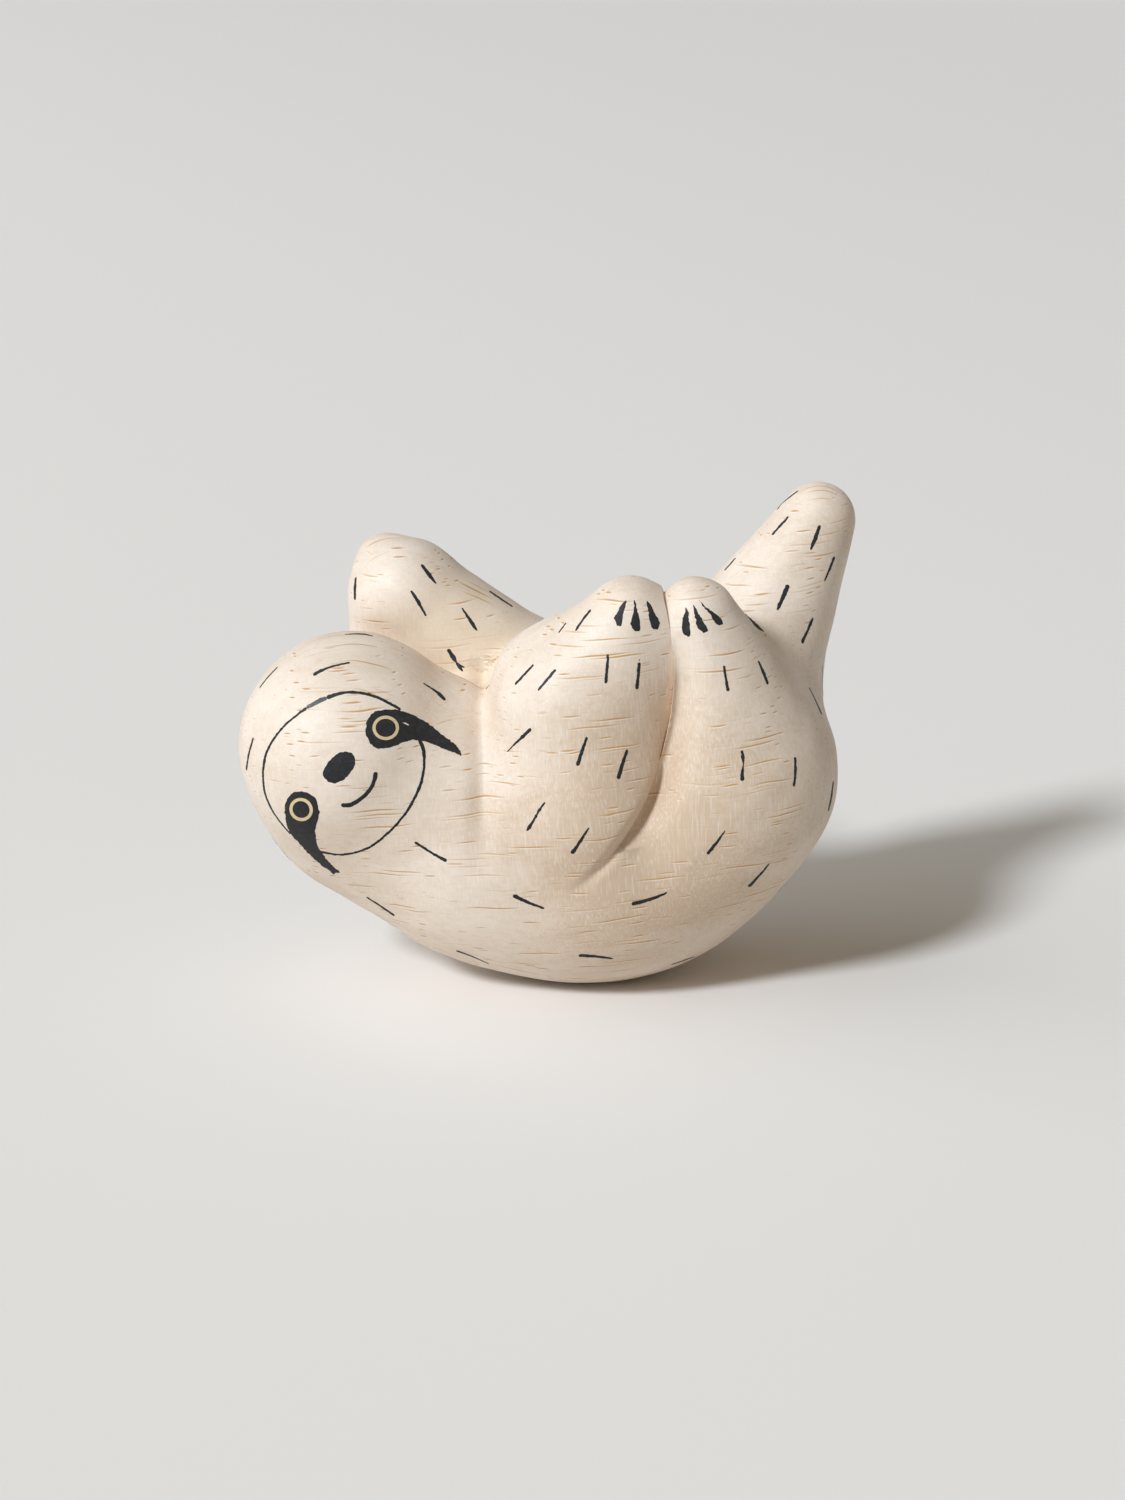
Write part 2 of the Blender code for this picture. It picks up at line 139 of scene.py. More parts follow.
GROOVE_SHALLOW_FROM = 36.0 * MM
GROOVE_SHALLOW_TO = 50.0 * MM
LEG_DIP = mm(25.0, 32.0, 47.0, 54.0)
LEG_DIP_DEPTH = 1.0 * MM
LEG_DIP_WIDTH = 1.4 * MM
GROOVE_END = mm(18.5, 22.0, 27.0, 32.0)
GROOVE_END_DEPTH = 0.55 * MM
GROOVE_END_HALF_WIDTH = 0.9 * MM
VALLEY_X = -8.6 * MM
VALLEY_HALF_WIDTH = 1.6 * MM
VALLEY_DEPTH = 0.8 * MM
VALLEY_LOW = 20.0 * MM
VALLEY_HIGH = 31.0 * MM

NECK_SEAM_X = -8.8 * MM
HIP_SEAM_X = 10.0 * MM
ROOF_RIDGE = Vector((NECK_SEAM_X, -2.2 * MM, 41.5 * MM))
BEHIND_HEAD_SLOPE = 0.67
SEAM_BLEND = 2.0 * MM
SEAM_FADE = 8.0 * MM

COARSE_CELL = 1.4 * MM
FINE_STEPS = 2
SPARE_CELLS = 2
SMOOTHING_ROUNDS = 6
SETTLING_ROUNDS = 2
SMOOTH_CORNER = 0.6
STOCK = 80.0 * MM
STOCK_MARGIN = 3.0 * MM
SANDING_WAVES = 9
SANDING_WAVELENGTHS = mm(4, 11)
SANDING_HEIGHT = 0.03 * MM


def ramp(values, start, end):
    """0 before start, 1 past end, even between."""
    return np.clip((values - start) / (end - start), 0, 1)


def bell(offset, half_width):
    return np.exp(-((offset / half_width) ** 2))


def normed(vectors):
    return vectors / np.linalg.norm(vectors, axis=1)[:, None]


def egg(points, centre, half):
    """Distance outside a ball stretched to its three half sizes."""
    offset = points - np.asarray(centre)
    half = np.asarray(half)
    reach = np.linalg.norm(offset / half, axis=-1)
    slope = np.linalg.norm(offset / half**2, axis=-1)
    return reach * (reach - 1) / np.maximum(slope, 1e-6)


def cone(points, root, tip, root_radius, tip_radius, depth=1.0):
    """Distance outside a cone with ball ends, flattened from front to back."""
    squash = np.array((1.0, 1 / depth, 1.0))
    along = (np.asarray(tip) - root) * squash
    offset = (points - np.asarray(root)) * squash
    length = np.linalg.norm(along)
    along = along / length
    taper = (root_radius - tip_radius) / length
    lean = math.sqrt(max(1 - taper**2, 0.04))
    axial = offset @ along
    radial = np.sqrt(np.maximum((offset**2).sum(-1) - axial**2, 0))
    foot = np.clip(axial - radial * taper / lean, 0, length)
    return (np.hypot(radial, axial - foot) - root_radius + taper * foot) * min(depth, 1.0)


def blend(one, other, reach):
    """Union of two masses, its crease filled over the given reach."""
    share = np.maximum(reach - np.abs(one - other), 0) / reach
    return np.minimum(one, other) - share**2 * reach / 4


def groove_curve():
    """The groove between the near limbs, seen along Y: points (x, z) upwards, run on past both ends."""
    share = np.linspace(0, 1, GROOVE_POINTS)[:, None]
    weights = ((1 - share) ** 3, 3 * (1 - share) ** 2 * share, 3 * (1 - share) * share**2, share**3)
    curve = sum(weight * pull for weight, pull in zip(weights, GROOVE_PULLS))
    below = curve[0] * (1 + GROOVE_RUN_ON) - curve[1] * GROOVE_RUN_ON
    above = curve[-1] * (1 + GROOVE_RUN_ON) - curve[-2] * GROOVE_RUN_ON
    return np.vstack([below, curve, above])


def groove_offset(points):
    """Distance from the groove along the figure, positive on the leg's side."""
    curve = groove_curve()
    lean = np.gradient(curve[:, 0], curve[:, 1])
    across = points[:, 0] - np.interp(points[:, 2], curve[:, 1], curve[:, 0])
    return across / np.sqrt(1 + np.interp(points[:, 2], curve[:, 1], lean) ** 2)


def figure(points, left_out=None):
    """Distance outside the figure's skin, whole or with one limb or the head still left out."""
    body = blend(egg(points, TORSO_CENTRE, TORSO_HALF_SIZE), cone(points, *NECK), NECK_BLEND)
    if left_out != "head":
        head = egg(points, HEAD_CENTRE, (HEAD_RADIUS,) * 3)
        nape = egg(points, NAPE_CENTRE, (NAPE_RADIUS,) * 3)
        body = blend(body, blend(head, nape, HEAD_BLEND), HEAD_BLEND)
    side = groove_offset(points)
    tips = ramp(points[:, 2], GROOVE_SHALLOW_FROM, GROOVE_SHALLOW_TO)
    depth = GROOVE_DEPTH + (GROOVE_TIP_DEPTH - GROOVE_DEPTH) * tips
    crease = GROOVE_BLEND + (GROOVE_TIP_BLEND - GROOVE_BLEND) * tips
    if left_out != "near_leg":
        leg = cone(points, *NEAR_LEG)
        leg = blend(-blend(-leg, side, GROOVE_LEG_EDGE), leg + depth, GROOVE_BLEND)
        fade = np.clip(side / GROOVE_FADE, 0, 1)
        body = blend(body, leg, GROOVE_BLEND + (ROOT_BLEND - GROOVE_BLEND) * fade)
    if left_out != "far_arm":
        shoulder_radius, root_radius, elbow_radius, heel_radius, tip_radius = FAR_ARM_RADII
        upper = cone(points, FAR_ARM_ELBOW, FAR_ARM_TIP, elbow_radius, tip_radius)
        lower = cone(points, FAR_ARM_ROOT, FAR_ARM_ELBOW, root_radius, elbow_radius)
        heel = cone(points, FAR_ARM_HEEL, FAR_ARM_TIP, heel_radius, tip_radius)
        shoulder = cone(points, FAR_SHOULDER, FAR_ARM_ROOT, shoulder_radius, root_radius)
        arm = blend(blend(blend(upper, lower, LIMB_BLEND), heel, LIMB_BLEND), shoulder, LIMB_BLEND)
        fade = np.clip((points[:, 0] - NECK_SEAM_X) / SEAM_FADE, 0, 1)
        body = blend(body, arm, SEAM_BLEND + (ROOT_BLEND - SEAM_BLEND) * fade)
    hip_radius, root_radius, tip_radius = FAR_LEG_RADII
    hip = cone(points, FAR_HIP, FAR_LEG_ROOT, hip_radius, root_radius)
    far_leg = cone(points, FAR_LEG_ROOT, FAR_LEG_TIP, root_radius, tip_radius)
    body = blend(body, blend(hip, far_leg, LIMB_BLEND), ROOT_BLEND)
    body = blend(body, cone(points, *BETWEEN_LIMBS), LIMB_BLEND)
    if left_out != "near_arm":
        root_radius, shoulder_radius, tip_radius = NEAR_ARM_RADII
        upper = cone(points, NEAR_ARM_SHOULDER, NEAR_ARM_TIP, shoulder_radius, tip_radius, NEAR_ARM_FLATNESS)
        lower = cone(points, NEAR_ARM_ROOT, NEAR_ARM_TIP, root_radius, tip_radius, NEAR_ARM_FLATNESS)
        flank = cone(
            points, NEAR_ARM_ROOT, NEAR_ARM_SHOULDER, root_radius, shoulder_radius, NEAR_ARM_FLATNESS
        )
        arm = blend(blend(upper, lower, LIMB_BLEND), flank, LIMB_BLEND)
        arm = blend(-blend(-arm, GROOVE_OVERLAP - side, GROOVE_ARM_EDGE), arm + depth, GROOVE_BLEND)
        behind = (points[:, 1] - GROOVE_BACK_Y) / GROOVE_BACK_FADE
        fade = np.clip(np.maximum(-side / GROOVE_FADE, behind), 0, 1)
        body = blend(body, arm, crease + (NEAR_ARM_BLEND - crease) * fade)
    near_side = points[:, 1] < 0
    valley = ramp(points[:, 2], VALLEY_LOW, VALLEY_HIGH) * near_side
    body = body + VALLEY_DEPTH * valley * bell(points[:, 0] - VALLEY_X, VALLEY_HALF_WIDTH)
    groove_end = np.interp(points[:, 2], GROOVE_END, (0, 1, 1, 0)) * near_side
    body = body + GROOVE_END_DEPTH * groove_end * bell(side, GROOVE_END_HALF_WIDTH)
    dip = np.interp(points[:, 2], LEG_DIP, (0, 1, 1, 0)) * near_side
    beside = np.maximum(side, 0) / LEG_DIP_WIDTH
    return body + LEG_DIP_DEPTH * dip * beside * np.exp(1 - beside)


sanding = np.random.default_rng(5)
wave_directions = normed(sanding.normal(size=(SANDING_WAVES, 3)))
wave_turns = 2 * math.pi / sanding.uniform(*SANDING_WAVELENGTHS, SANDING_WAVES)
wave_starts = sanding.uniform(0, 2 * math.pi, SANDING_WAVES)


def sanded(points, left_out):
    """The figure with the faint unevenness that hand sanding leaves."""
    waves = np.sin((points @ wave_directions.T) * wave_turns + wave_starts).sum(axis=1)
    return figure(points, left_out) + waves * SANDING_HEIGHT / math.sqrt(SANDING_WAVES)


def slope_of(points, field):
    nudge = 0.02 * MM
    return np.stack(
        [(field(points + step) - field(points - step)) / (2 * nudge) for step in np.eye(3) * nudge], axis=-1
    )


def settle(points, field, stride):
    """Moves points along the field's slope towards its skin, no further than the stride each time."""
    for _ in range(SETTLING_ROUNDS):
        slope = slope_of(points, field)
        shift = field(points)[:, None] * slope / np.maximum((slope**2).sum(-1, keepdims=True), 0.05)
        distance = np.linalg.norm(shift, axis=-1, keepdims=True)
        points = points - shift * np.minimum(1, stride / np.maximum(distance, 1e-9))
    return points


def filled(inside):
    """The grid of inside points, filled where the skin would touch itself along an edge or at a corner."""
    reach = {(i, j, k) for i in (0, 1) for j in (0, 1) for k in (0, 1)}
    pairs = [((1, 0, 0), (0, 1, 0)), ((0, 1, 0), (0, 0, 1)), ((1, 0, 0), (0, 0, 1))]
    flat = [((0, 0, 0), one, other, tuple(np.add(one, other))) for one, other in pairs]
    while True:
        at = {step: np.roll(inside, tuple(-n for n in step), (0, 1, 2)) for step in reach}
        count = sum(at[step].astype(int) for step in reach)
        fill = np.zeros_like(inside)
        for base, one, other, both in flat:
            touch = (at[base] == at[both]) & (at[one] == at[other]) & (at[base] != at[one])
            for step in (base, one, other, both):
                fill |= np.roll(touch, step, (0, 1, 2))
        for step in ((0, 0, 0), (1, 0, 0), (0, 1, 0), (0, 0, 1)):
            across = tuple(1 - n for n in step)
            touch = (at[step] == at[across]) & (count == np.where(at[step], 2, 6))
            for corner in reach:
                fill |= np.roll(touch, corner, (0, 1, 2))
        if not (fill & ~inside).any():
            return inside
        inside = inside | fill


def rough_skin(field, low, high, cell):
    """A closed mesh of squares on the skin of a distance field: its points and its faces."""
    counts = [int(np.ceil((b - a) / cell)) + 1 for a, b in zip(low, high)]
    axes = [a + np.arange(count) * cell for a, count in zip(low, counts)]
    grid = np.stack(np.meshgrid(*axes, indexing="ij"), axis=-1)
    inside = filled((field(grid.reshape(-1, 3)) < 0).reshape(counts))
    corners = sum(
        inside[i : counts[0] - 1 + i, j : counts[1] - 1 + j, k : counts[2] - 1 + k].astype(int)
        for i in (0, 1)
        for j in (0, 1)
        for k in (0, 1)
    )
    crossed = (corners > 0) & (corners < 8)
    number = np.cumsum(crossed).reshape(crossed.shape) - 1
    points = grid[:-1, :-1, :-1][crossed] + cell / 2
    faces = []
    for axis in range(3):
        ahead = np.roll(inside, -1, axis)
        here = np.argwhere(inside != ahead)
        here = here[(here.min(axis=1) > 0) & (here[:, axis] < counts[axis] - 1)]
        one, other = np.eye(3, dtype=int)[(axis + 1) % 3], np.eye(3, dtype=int)[(axis + 2) % 3]
        quad = [here, here - one, here - one - other, here - other]
        quad = np.stack([number[tuple(cell_at.T)] for cell_at in quad], axis=-1)
        leaving = inside[tuple(here.T)]
        faces += [quad[leaving], quad[~leaving][:, ::-1]]
    faces = np.concatenate(faces)
    ends = np.concatenate([faces[:, [0, 1]], faces[:, [1, 2]], faces[:, [2, 3]], faces[:, [3, 0]]])
    ends = np.concatenate([ends, ends[:, ::-1]])
    degree = np.bincount(ends[:, 0], minlength=len(points))[:, None]
    for _ in range(SMOOTHING_ROUNDS):
        total = np.stack(
            [np.bincount(ends[:, 0], points[ends[:, 1], k], len(points)) for k in range(3)], axis=-1
        )
        points = settle((points + total / degree) / 2, field, cell / 4)
    return points, faces


def mesh_of(name, points, faces):
    mesh = bpy.data.meshes.new(name)
    mesh.from_pydata(np.asarray(points).tolist(), [], faces if isinstance(faces, list) else faces.tolist())
    mesh.update()
    return mesh


def points_of(mesh):
    points = np.empty(len(mesh.vertices) * 3)
    mesh.vertices.foreach_get("co", points)
    return points.reshape(-1, 3)


def modelled(maker):
    """The mesh that an object's modifiers make."""
    return bpy.data.meshes.new_from_object(maker.evaluated_get(bpy.context.evaluated_depsgraph_get()))


def fine_skin(left_out, low, high):
    """One block's share of the skin, closed off by a box a little larger than the block."""
    low = np.floor(np.asarray(low) / COARSE_CELL - SPARE_CELLS) * COARSE_CELL
    high = np.ceil(np.asarray(high) / COARSE_CELL + SPARE_CELLS) * COARSE_CELL
    middle, half = (low + high) / 2, (high - low) / 2 - (SPARE_CELLS - 0.5) * COARSE_CELL

    def boxed(skin):
        return lambda points: np.maximum(
            skin(points, left_out), (np.abs(points - middle) - half).max(axis=1)
        )

    rough = add_object("rough", mesh_of("rough", *rough_skin(boxed(figure), low, high, COARSE_CELL)))
    smooth = rough.modifiers.new("smooth", "SUBSURF")
    smooth.levels = FINE_STEPS
    mesh = modelled(rough)
    bpy.data.objects.remove(rough)
    points = settle(points_of(mesh), boxed(sanded), COARSE_CELL / 4)
    mesh.vertices.foreach_set("co", points.ravel())
    return mesh


def stock(planes, outline=None):
    """Stock standing on the table, sawn along planes (point, direction kept).

    The outline, points (x, z), is sawn along Y out of the stock first.
    """
    if outline is None:
        outline = [(-STOCK, 0.0), (STOCK, 0.0), (STOCK, STOCK), (-STOCK, STOCK)]
    mesh = bmesh.new()
    near = [mesh.verts.new((x, -STOCK, z)) for x, z in outline]
    far = [mesh.verts.new((x, STOCK, z)) for x, z in outline]
    mesh.faces.new(near)
    mesh.faces.new(far[::-1])
    for index in range(len(outline)):
        after = (index + 1) % len(outline)
        mesh.faces.new((near[index], far[index], far[after], near[after]))
    for point, kept in planes:
        cut_edges = bmesh.ops.bisect_plane(
            mesh,
            geom=list(mesh.verts) + list(mesh.edges) + list(mesh.faces),
            plane_co=point,
            plane_no=Vector(kept).normalized(),
            clear_inner=True,
        )["geom_cut"]
        rim = [edge for edge in cut_edges if isinstance(edge, bmesh.types.BMEdge)]
        bmesh.ops.contextual_create(mesh, geom=rim)
    bmesh.ops.recalc_face_normals(mesh, faces=mesh.faces)
    made = bpy.data.meshes.new("stock")
    mesh.to_mesh(made)
    mesh.free()
    return made


def shade_by_field(mesh, field):
    """Smooth corners take the field's own slope as their normal, so that no glue line shows."""
    count = len(mesh.loops)
    corner_points = np.empty(count, int)
    mesh.loops.foreach_get("vertex_index", corner_points)
    face_normals = np.empty(len(mesh.polygons) * 3)
    mesh.polygons.foreach_get("normal", face_normals)
    sizes = np.empty(len(mesh.polygons), int)
    mesh.polygons.foreach_get("loop_total", sizes)
    face_normals = np.repeat(face_normals.reshape(-1, 3), sizes, axis=0)
    slope = slope_of(points_of(mesh), field)
    slope = (slope / np.maximum(np.linalg.norm(slope, axis=1), 1e-9)[:, None])[corner_points]
    smooth = (slope * face_normals).sum(axis=1) > SMOOTH_CORNER
    mesh.polygons.foreach_set("use_smooth", [True] * len(mesh.polygons))
    mesh.normals_split_custom_set(np.where(smooth[:, None], slope, face_normals).tolist())


class Wire:
    """An output socket in a material. Arithmetic on wires and numbers adds Math nodes."""

    def __init__(self, tree, socket=None):
        self.tree = tree
        self.socket = socket

    def node(self, kind, settings=(), inputs=(), output=0):
        """Adds a node, its settings first and then its inputs, and gives one of its outputs."""
        made = self.tree.nodes.new(kind)
        for name, value in dict(settings).items():
            setattr(made, name, value)
        for name, value in dict(inputs).items():
            if isinstance(value, Wire):
                self.tree.links.new(value.socket, made.inputs[name])
            else:
                made.inputs[name].default_value = value
        return Wire(self.tree, made.outputs[output] if made.outputs else None)

    def beside(self, output):
        """Another output of the same node."""
        return Wire(self.tree, self.socket.node.outputs[output])

    def math(self, operation, *values):
        return self.node("ShaderNodeMath", {"operation": operation}, enumerate(values))

    def vector(self, operation, *values, output=0, **more):
        inputs = {**dict(enumerate(values)), **more}
        return self.node("ShaderNodeVectorMath", {"operation": operation}, inputs, output)

    def fade(self, start, end):
        """0 before start, 1 past end, smooth between."""
        ends = {"Value": self, "From Min": start, "From Max": end}
        return self.node("ShaderNodeMapRange", {"interpolation_type": "SMOOTHSTEP"}, ends)

    def mix(self, one, other):
        """Colour one where this wire is 0, the other where it is 1."""
        return self.node("ShaderNodeMix", {"data_type": "RGBA"}, {0: self, 6: one, 7: other}, 2)

    def __add__(self, other):
        return self.math("ADD", self, other)

    def __sub__(self, other):
        return self.math("SUBTRACT", self, other)

    def __rsub__(self, other):
        return self.math("SUBTRACT", other, self)

    def __mul__(self, other):
        return self.math("MULTIPLY", self, other)

    __radd__ = __add__
    __rmul__ = __mul__


def start_material(name):
    """An empty material and its first wire."""
    material = bpy.data.materials.new(name)
    material.use_nodes = True
    material.node_tree.nodes.clear()
    return material, Wire(material.node_tree)


def end_material(start, looks):
    surface = start.node("ShaderNodeBsdfPrincipled", {}, looks)
    start.node("ShaderNodeOutputMaterial", {}, {"Surface": surface})


def place_on(start):
    """Places on the object, in its own frame."""
    return start.node("ShaderNodeTexCoord", output="Object")


# The grain: orange-brown pores that the knife cut open along their length, and short dashes and dots where
# it crossed them. Each has its cell's length, depth and height, its fill of the cell and its rarity.
GRAIN_RISE = math.radians(5)
GRAIN_RIPPLE = 1.3 * MM
RIPPLE_SCALE = 120
FACE_PORE = (17 * MM, 8 * MM, 0.5 * MM, 0.29, 0.2)
TOP_PORE = (17 * MM, 0.5 * MM, 8 * MM, 0.29, 0.2)
SHORT_PORE = (7 * MM, 1.8 * MM, 0.55 * MM, 0.25, 0.2)
FAINT_PORES = 0.5
PORE_EDGE = 0.4
# How far below each pore its white lower lip is drawn: whitewash caught there, and a painted highlight on the
# lip
LIP = 0.14 * MM
# Patterns in the wash, as the sizes of their cells, and how much each shows as tan and as relief
BLOTCH = mm(18, 7, 7)
FIBRE = mm(9, 0.4, 0.4)
SCUFF = mm(0.18, 0.18, 4)
MOTTLE_SCALE = 900
BLOTCH_TAN, FIBRE_TAN, MOTTLE_TAN, WORN_AND_SHADED_TAN = 0.35, 0.15, 0.2, 0.9
FIBRE_RELIEF, SCUFF_RELIEF, MOTTLE_RELIEF = 0.08, 0.14, 0.12
SCUFF_WASH, LIP_WASH_AND_HIGHLIGHT = 0.45, 0.6
PORE_SHARE, CHIP_SHARE, GLUE_SHARE = 0.95, 0.75, 0.6
CREAM = (0.875, 0.738, 0.63, 1)
PINK_TAN = (0.68, 0.505, 0.365, 1)
PORE_BROWN = (0.58, 0.30, 0.09, 1)
WHITEWASH = (0.95, 0.87, 0.80, 1)
BARE_WOOD = (0.74, 0.58, 0.38, 1)
GLUE = (0.33, 0.21, 0.12, 1)
# Where the wash is thin on the far arm, tanner and darker on the lower front (partly rubbed wash, partly
# painted shade) and chipped at the V: centre and reach of fade
BARE_PLACE = (mm(-13, 3, 44), *mm(2, 16))
WORN_AND_SHADED_PLACE = (mm(13, -17, 27), *mm(6, 27))
CHIPPED_PLACE = (ROOF_RIDGE, *mm(0.4, 2.4))
GLUE_LINE = mm(0.03, 0.15)


def along_grain(start, drop=0.0):
    """Places in the wood, with X along the grain; drop looks that far below."""
    turned = {"Vector": place_on(start), "Location": (0, 0, drop), "Rotation": (0, GRAIN_RISE, 0)}
    place = start.node("ShaderNodeMapping", {}, turned)
    ripple = start.node("ShaderNodeTexNoise", {}, {"Vector": place, "Scale": RIPPLE_SCALE, "Detail": 1}, 1)
    ripple = ripple.vector("SUBTRACT", ripple, (0.5, 0.5, 0.5))
    return place.vector("ADD", place, ripple.vector("SCALE", ripple, Scale=GRAIN_RIPPLE))


def stretched(place, *sizes):
    """Places in cells of three sizes."""
    return place.vector("MULTIPLY", place, tuple(1 / size for size in sizes))


def noise(place, sizes, detail=2):
    cells = {"Vector": stretched(place, *sizes), "Scale": 1.0, "Detail": detail}
    return place.node("ShaderNodeTexNoise", {}, cells)


def pores(place, length, depth, height, fill, rarity):
    """Mask of open pores, some of them faint and some missing."""
    cells = {"Vector": stretched(place, length, depth, height), "Scale": 1.0}
    cell = place.node("ShaderNodeTexVoronoi", {}, cells, "Distance")
    chance = place.node("ShaderNodeSeparateColor", {}, {0: cell.beside("Color")})
    return (1 - cell.fade(fill * PORE_EDGE, fill)) * chance.fade(rarity, rarity + FAINT_PORES)


def all_pores(start, drop=0.0):
    place = along_grain(start, drop)
    facing = start.node("ShaderNodeSeparateXYZ", {}, {0: start.node("ShaderNodeTexCoord", output="Normal")})
    sideways = facing.math("ABSOLUTE", facing).fade(0.45, 0.85)
    upward = facing.math("ABSOLUTE", facing.beside("Z")).fade(0.6, 0.8)
    lines = pores(place, *FACE_PORE) * (1 - upward) + pores(place, *TOP_PORE) * upward
    return lines.math("MAXIMUM", lines * (1 - sideways), pores(place, *SHORT_PORE) * (1 - sideways * 0.5))


def past_seam(start):
    """How far a place lies beyond the glue joint between the head and the far arm."""
    from_ridge = start.vector("SUBTRACT", place_on(start), ROOF_RIDGE)
    across = Vector((BEHIND_HEAD_SLOPE, 1, 1)).normalized()
    return start.vector("DOT_PRODUCT", from_ridge, across, output="Value")


def nearness(start, centre, near, far):
    return 1 - start.vector("DISTANCE", place_on(start), centre, output="Value").fade(near, far)


def whitewashed_wood():
    material, start = start_material("whitewashed_wood")
    place = along_grain(start)
    pore = all_pores(start)
    lip_wash_and_highlight = all_pores(start, LIP)
    blotch = noise(place, BLOTCH)
    fibre = noise(place, FIBRE, detail=3)
    scuff = noise(place, SCUFF)
    mottle = start.node("ShaderNodeTexNoise", {}, {"Vector": place, "Scale": MOTTLE_SCALE, "Detail": 4})
    tan = blotch.fade(0.35, 0.7) * BLOTCH_TAN + fibre.fade(0.35, 0.75) * FIBRE_TAN
    # Tanner and darker on the lower front of the belly and near limbs: partly rubbed wash, partly painted
    # shade
    tan = tan + mottle.fade(0.4, 0.75) * MOTTLE_TAN + nearness(start, *WORN_AND_SHADED_PLACE) * WORN_AND_SHADED_TAN
    colour = tan.mix(CREAM, PINK_TAN)
    colour = (scuff.fade(0.45, 0.8) * SCUFF_WASH).mix(colour, WHITEWASH)
    beyond = past_seam(start)
    at = start.node("ShaderNodeSeparateXYZ", {}, {0: place_on(start)})
    far_arm = beyond.math("GREATER_THAN", beyond, 0) * at.math("GREATER_THAN", at.beside("Y"), ROOF_RIDGE.y)
    bare = far_arm * nearness(start, *BARE_PLACE)
    colour = (bare * (0.3 + blotch * 0.4)).mix(colour, BARE_WOOD)
    # White along each pore's lower lip: whitewash caught there, and a painted highlight where the light
    # catches the lip
    colour = (lip_wash_and_highlight * LIP_WASH_AND_HIGHLIGHT).mix(colour, WHITEWASH)
    colour = (pore * PORE_SHARE).mix(colour, PORE_BROWN)
    chip = nearness(start, *CHIPPED_PLACE) * mottle.fade(0.45, 0.6)
    colour = (chip * CHIP_SHARE).mix(colour, PORE_BROWN)
    at_joint = 1 - beyond.math("ABSOLUTE", beyond).fade(*GLUE_LINE)
    glue = at_joint * at.math("LESS_THAN", at, NECK_SEAM_X) * fibre.fade(0.3, 0.55)
    colour = (glue * GLUE_SHARE).mix(colour, GLUE)
    relief = fibre * FIBRE_RELIEF + scuff * SCUFF_RELIEF + mottle * MOTTLE_RELIEF - pore - glue
    bump = start.node("ShaderNodeBump", {}, {"Height": relief, "Strength": 0.35, "Distance": 0.08 * MM})
    looks = {"Base Color": colour, "Roughness": 0.42 + fibre * 0.2 + pore * 0.2, "Normal": bump, "IOR": 1.45}
    end_material(start, looks)
    return material


near_slope = [(ROOF_RIDGE, (0, -1, 1)), (ROOF_RIDGE, (0, -1, 0))]
far_slope = [(ROOF_RIDGE, (0, 1, 1)), (ROOF_RIDGE, (0, 1, 0))]
neck = Vector((NECK_SEAM_X, 0, 0))
hips = Vector((HIP_SEAM_X, 0, 0))
groove = [(float(x), float(z)) for x, z in groove_curve()]
# Each block: the mass left out of its skin, its saw cuts, and the side of the groove that it keeps
BLOCKS = {
    "torso": (None, [(neck, (1, 0, 0)), (ROOF_RIDGE, (0, 1, -1)), (ROOF_RIDGE, (0, -1, -1))], 0),
    "head": ("far_arm", [(neck, (-1, 0, 0)), (ROOF_RIDGE, (-BEHIND_HEAD_SLOPE, -1, -1))], 0),
    "near_arm": ("near_leg", [*near_slope, (neck, (1, 0, 0))], -1),
    "near_leg": ("near_arm", near_slope, 1),
    "far_arm": ("head", [*far_slope, (hips, (-1, 0, 0)), (ROOF_RIDGE, (BEHIND_HEAD_SLOPE, 1, 1))], 0),
    "far_leg": (None, [*far_slope, (hips, (1, 0, 0))], 0),
}
wood = whitewashed_wood()
carved = {}
for name, (left_out, planes, side) in BLOCKS.items():
    low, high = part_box(name)
    margin = Vector((STOCK_MARGIN,) * 3)
    block = add_object(name + "_carved", fine_skin(left_out, low - margin, high + margin))
    outline = [(side * STOCK, groove[0][1]), *groove, (side * STOCK, groove[-1][1])] if side else None
    sawn = add_object(name + "_stock", stock(planes, outline))
    cut = block.modifiers.new("sawn", "BOOLEAN")
    cut.operation = "INTERSECT"
    cut.solver = "EXACT"
    cut.object = sawn
    block.data = modelled(block)
    block.modifiers.clear()
    bpy.data.objects.remove(sawn)
    shade_by_field(block.data, lambda points: sanded(points, left_out))
    block.data.materials.clear()
    block.data.materials.append(wood)
    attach(block, "root")
    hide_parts(name)
    carved[name] = block


# The five dowels of plain hardwood that pin each limb and the head to their neighbours, glued in blind
# holes. Nothing shows of them outside. Their ends are the end grain of the rod that they are cut from.
HARDWOOD = (0.62, 0.40, 0.20, 1)
HARDWOOD_DARK = (0.40, 0.23, 0.10, 1)
GROWTH = mm(1.2, 0.5, 6)
dowel_wood, start = start_material("dowel_hardwood")
growth = noise(along_grain(start), GROWTH, detail=4)
colour = growth.fade(0.35, 0.7).mix(HARDWOOD, HARDWOOD_DARK)
bump = start.node("ShaderNodeBump", {}, {"Height": growth, "Strength": 0.2, "Distance": 0.05 * MM})
looks = {"Base Color": colour, "Roughness": 0.55 + growth * 0.15, "Normal": bump}
end_material(start, looks)
for name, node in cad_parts.items():
    if name.startswith("dowel_"):
        node.data.materials.clear()
        node.data.materials.append(dowel_wood)


